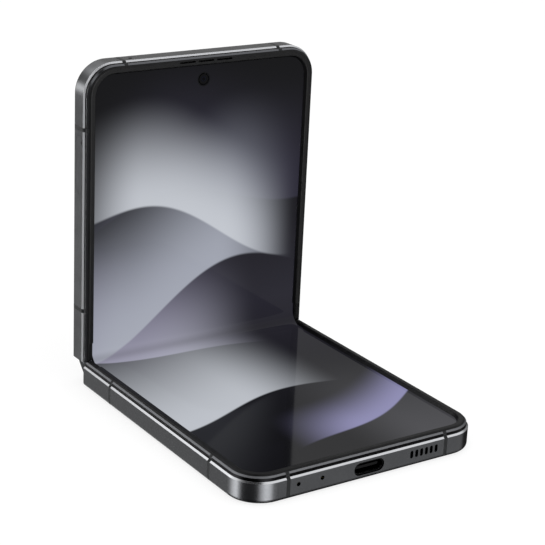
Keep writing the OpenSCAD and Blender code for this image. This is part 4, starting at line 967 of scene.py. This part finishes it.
def studioSurround():
    # World: white where the camera and glass look, and a plain soft level for everything it lights.
    # Mirrors see walls(azimuth) x boxes, given over to the ceiling overhead, times every card's shade.
    # Azimuth = atan2(x, -y) and elevation = asin(z), in degrees; the walls' ramp takes azimuth/360 + 1/2
    v = surround
    world = bpy.data.worlds.new("studioSurround")
    bpy.context.scene.world = world
    world.use_nodes = True
    tree = world.node_tree
    tree.nodes.clear()
    path = addNode(tree, "LightPath")
    direction = addNode(tree, "SeparateXYZ", (addNode(tree, "TexCoord").outputs["Generated"],))
    front = addNode(tree, "Math", (direction.outputs["Y"], -1.0), operation="MULTIPLY")
    turned = addNode(tree, "Math", (direction.outputs["X"], front), operation="ARCTAN2")
    turned = addNode(tree, "Math", (turned,), operation="DEGREES")
    raised = addNode(tree, "Math", (direction.outputs["Z"],), operation="ARCSINE")
    raised = addNode(tree, "Math", (raised,), operation="DEGREES")
    share = addNode(tree, "Math", (turned, 360.0), operation="DIVIDE")
    share = addNode(tree, "Math", (share, 0.5), operation="ADD")
    stops = [((azimuth + 180) / 360, code) for azimuth, code in v["walls"]]
    walls = addNode(tree, "RGBToBW", (addNode(tree, "ValToRGB", (share,), stops=stops),))
    seen = addNode(tree, "Math", (walls, v["boxes"]), operation="MULTIPLY")
    overhead = addNode(tree, "MapRange", (raised, *v["ceilingFrom"]), **eased)
    seen = addNode(tree, "Mix", (overhead, seen, v["ceiling"]))
    for card in v["cards"]:
        seen = addNode(tree, "Math", (seen, cardShade(tree, turned, raised, card)), operation="MULTIPLY")
    looks = (path.outputs["Is Camera Ray"], path.outputs["Is Transmission Ray"])
    clear = addNode(tree, "Math", looks, operation="MAXIMUM")
    strength = addNode(tree, "MapRange", (clear, 0.0, 1.0, v["level"], 1.0))
    plain = addNode(tree, "Background", {"Color": "#ffffff", "Strength": strength})
    studio = addNode(tree, "Background", {"Color": "#ffffff", "Strength": seen})
    backdrop = addNode(tree, "MixShader", (path.outputs["Is Glossy Ray"], plain, studio))
    addNode(tree, "OutputWorld", {"Surface": backdrop})


# Lamps: place and size in m, radiance as a share of plain white; all aim at the same point
lamps = {
    "softboxLeft": {"place": (-0.75, -0.45, 0.75), "size": (0.7, 0.7), "radiance": 1.6},
    "softboxRight": {"place": (0.7, -0.55, 0.6), "size": (0.5, 0.7), "radiance": 1.3},
    "softboxTop": {"place": (0.1, 0.1, 1.0), "size": (0.9, 0.9), "radiance": 1.1},
}
lampTarget = Vector((0, 0, 0.035))


def placeLamps():
    # Area lamps aimed at the phone: power = radiance x pi x area. Mirrors see the surround's soft boxes
    # instead
    for name, v in lamps.items():
        light = bpy.data.lights.new(name, "AREA")
        light.shape = "RECTANGLE"
        light.size, light.size_y = v["size"]
        light.energy = v["radiance"] * pi * v["size"][0] * v["size"][1]
        lamp = bpy.data.objects.new(name, light)
        bpy.context.scene.collection.objects.link(lamp)
        place = Vector(v["place"])
        turn = (lampTarget - place).to_track_quat("-Z", "Y").to_matrix().to_4x4()
        lamp.matrix_world = Matrix.Translation(place) @ turn
        lamp.visible_glossy = False


# The photograph's view: angles in degrees, lengths in m, focal length and sensor in mm
view = {
    "azimuth": -34.494,
    "elevation": 19.694,
    "roll": 2.72,
    "distance": 0.45899,
    "target": (0.011654, 0.017847, 0.031826),
    "lens": 110.791,
    "sensor": 36.0,
}


def placeCamera():
    # Axes: back points from the target to the camera, right lies level and up stands on both; right and
    # up then turn by roll about back
    azimuth, elevation, roll = (radians(view[key]) for key in ("azimuth", "elevation", "roll"))
    back = Vector((sin(azimuth) * cos(elevation), -cos(azimuth) * cos(elevation), sin(elevation)))
    right = Vector((cos(azimuth), sin(azimuth), 0))
    up = back.cross(right)
    across, upright = cos(roll) * right + sin(roll) * up, cos(roll) * up - sin(roll) * right
    lens = bpy.data.cameras.new("photoView")
    lens.lens, lens.sensor_width, lens.sensor_fit = view["lens"], view["sensor"], "HORIZONTAL"
    camera = bpy.data.objects.new("photoView", lens)
    bpy.context.scene.collection.objects.link(camera)
    place = Vector(view["target"]) + back * view["distance"]
    turn = Matrix((across, upright, back)).transposed().to_4x4()
    camera.matrix_world = Matrix.Translation(place) @ turn
    bpy.context.scene.camera = camera


paleFloor()
studioSurround()
placeLamps()
placeCamera()
bpy.context.scene.view_settings.view_transform = "Standard"
print("floor, light and camera placed")
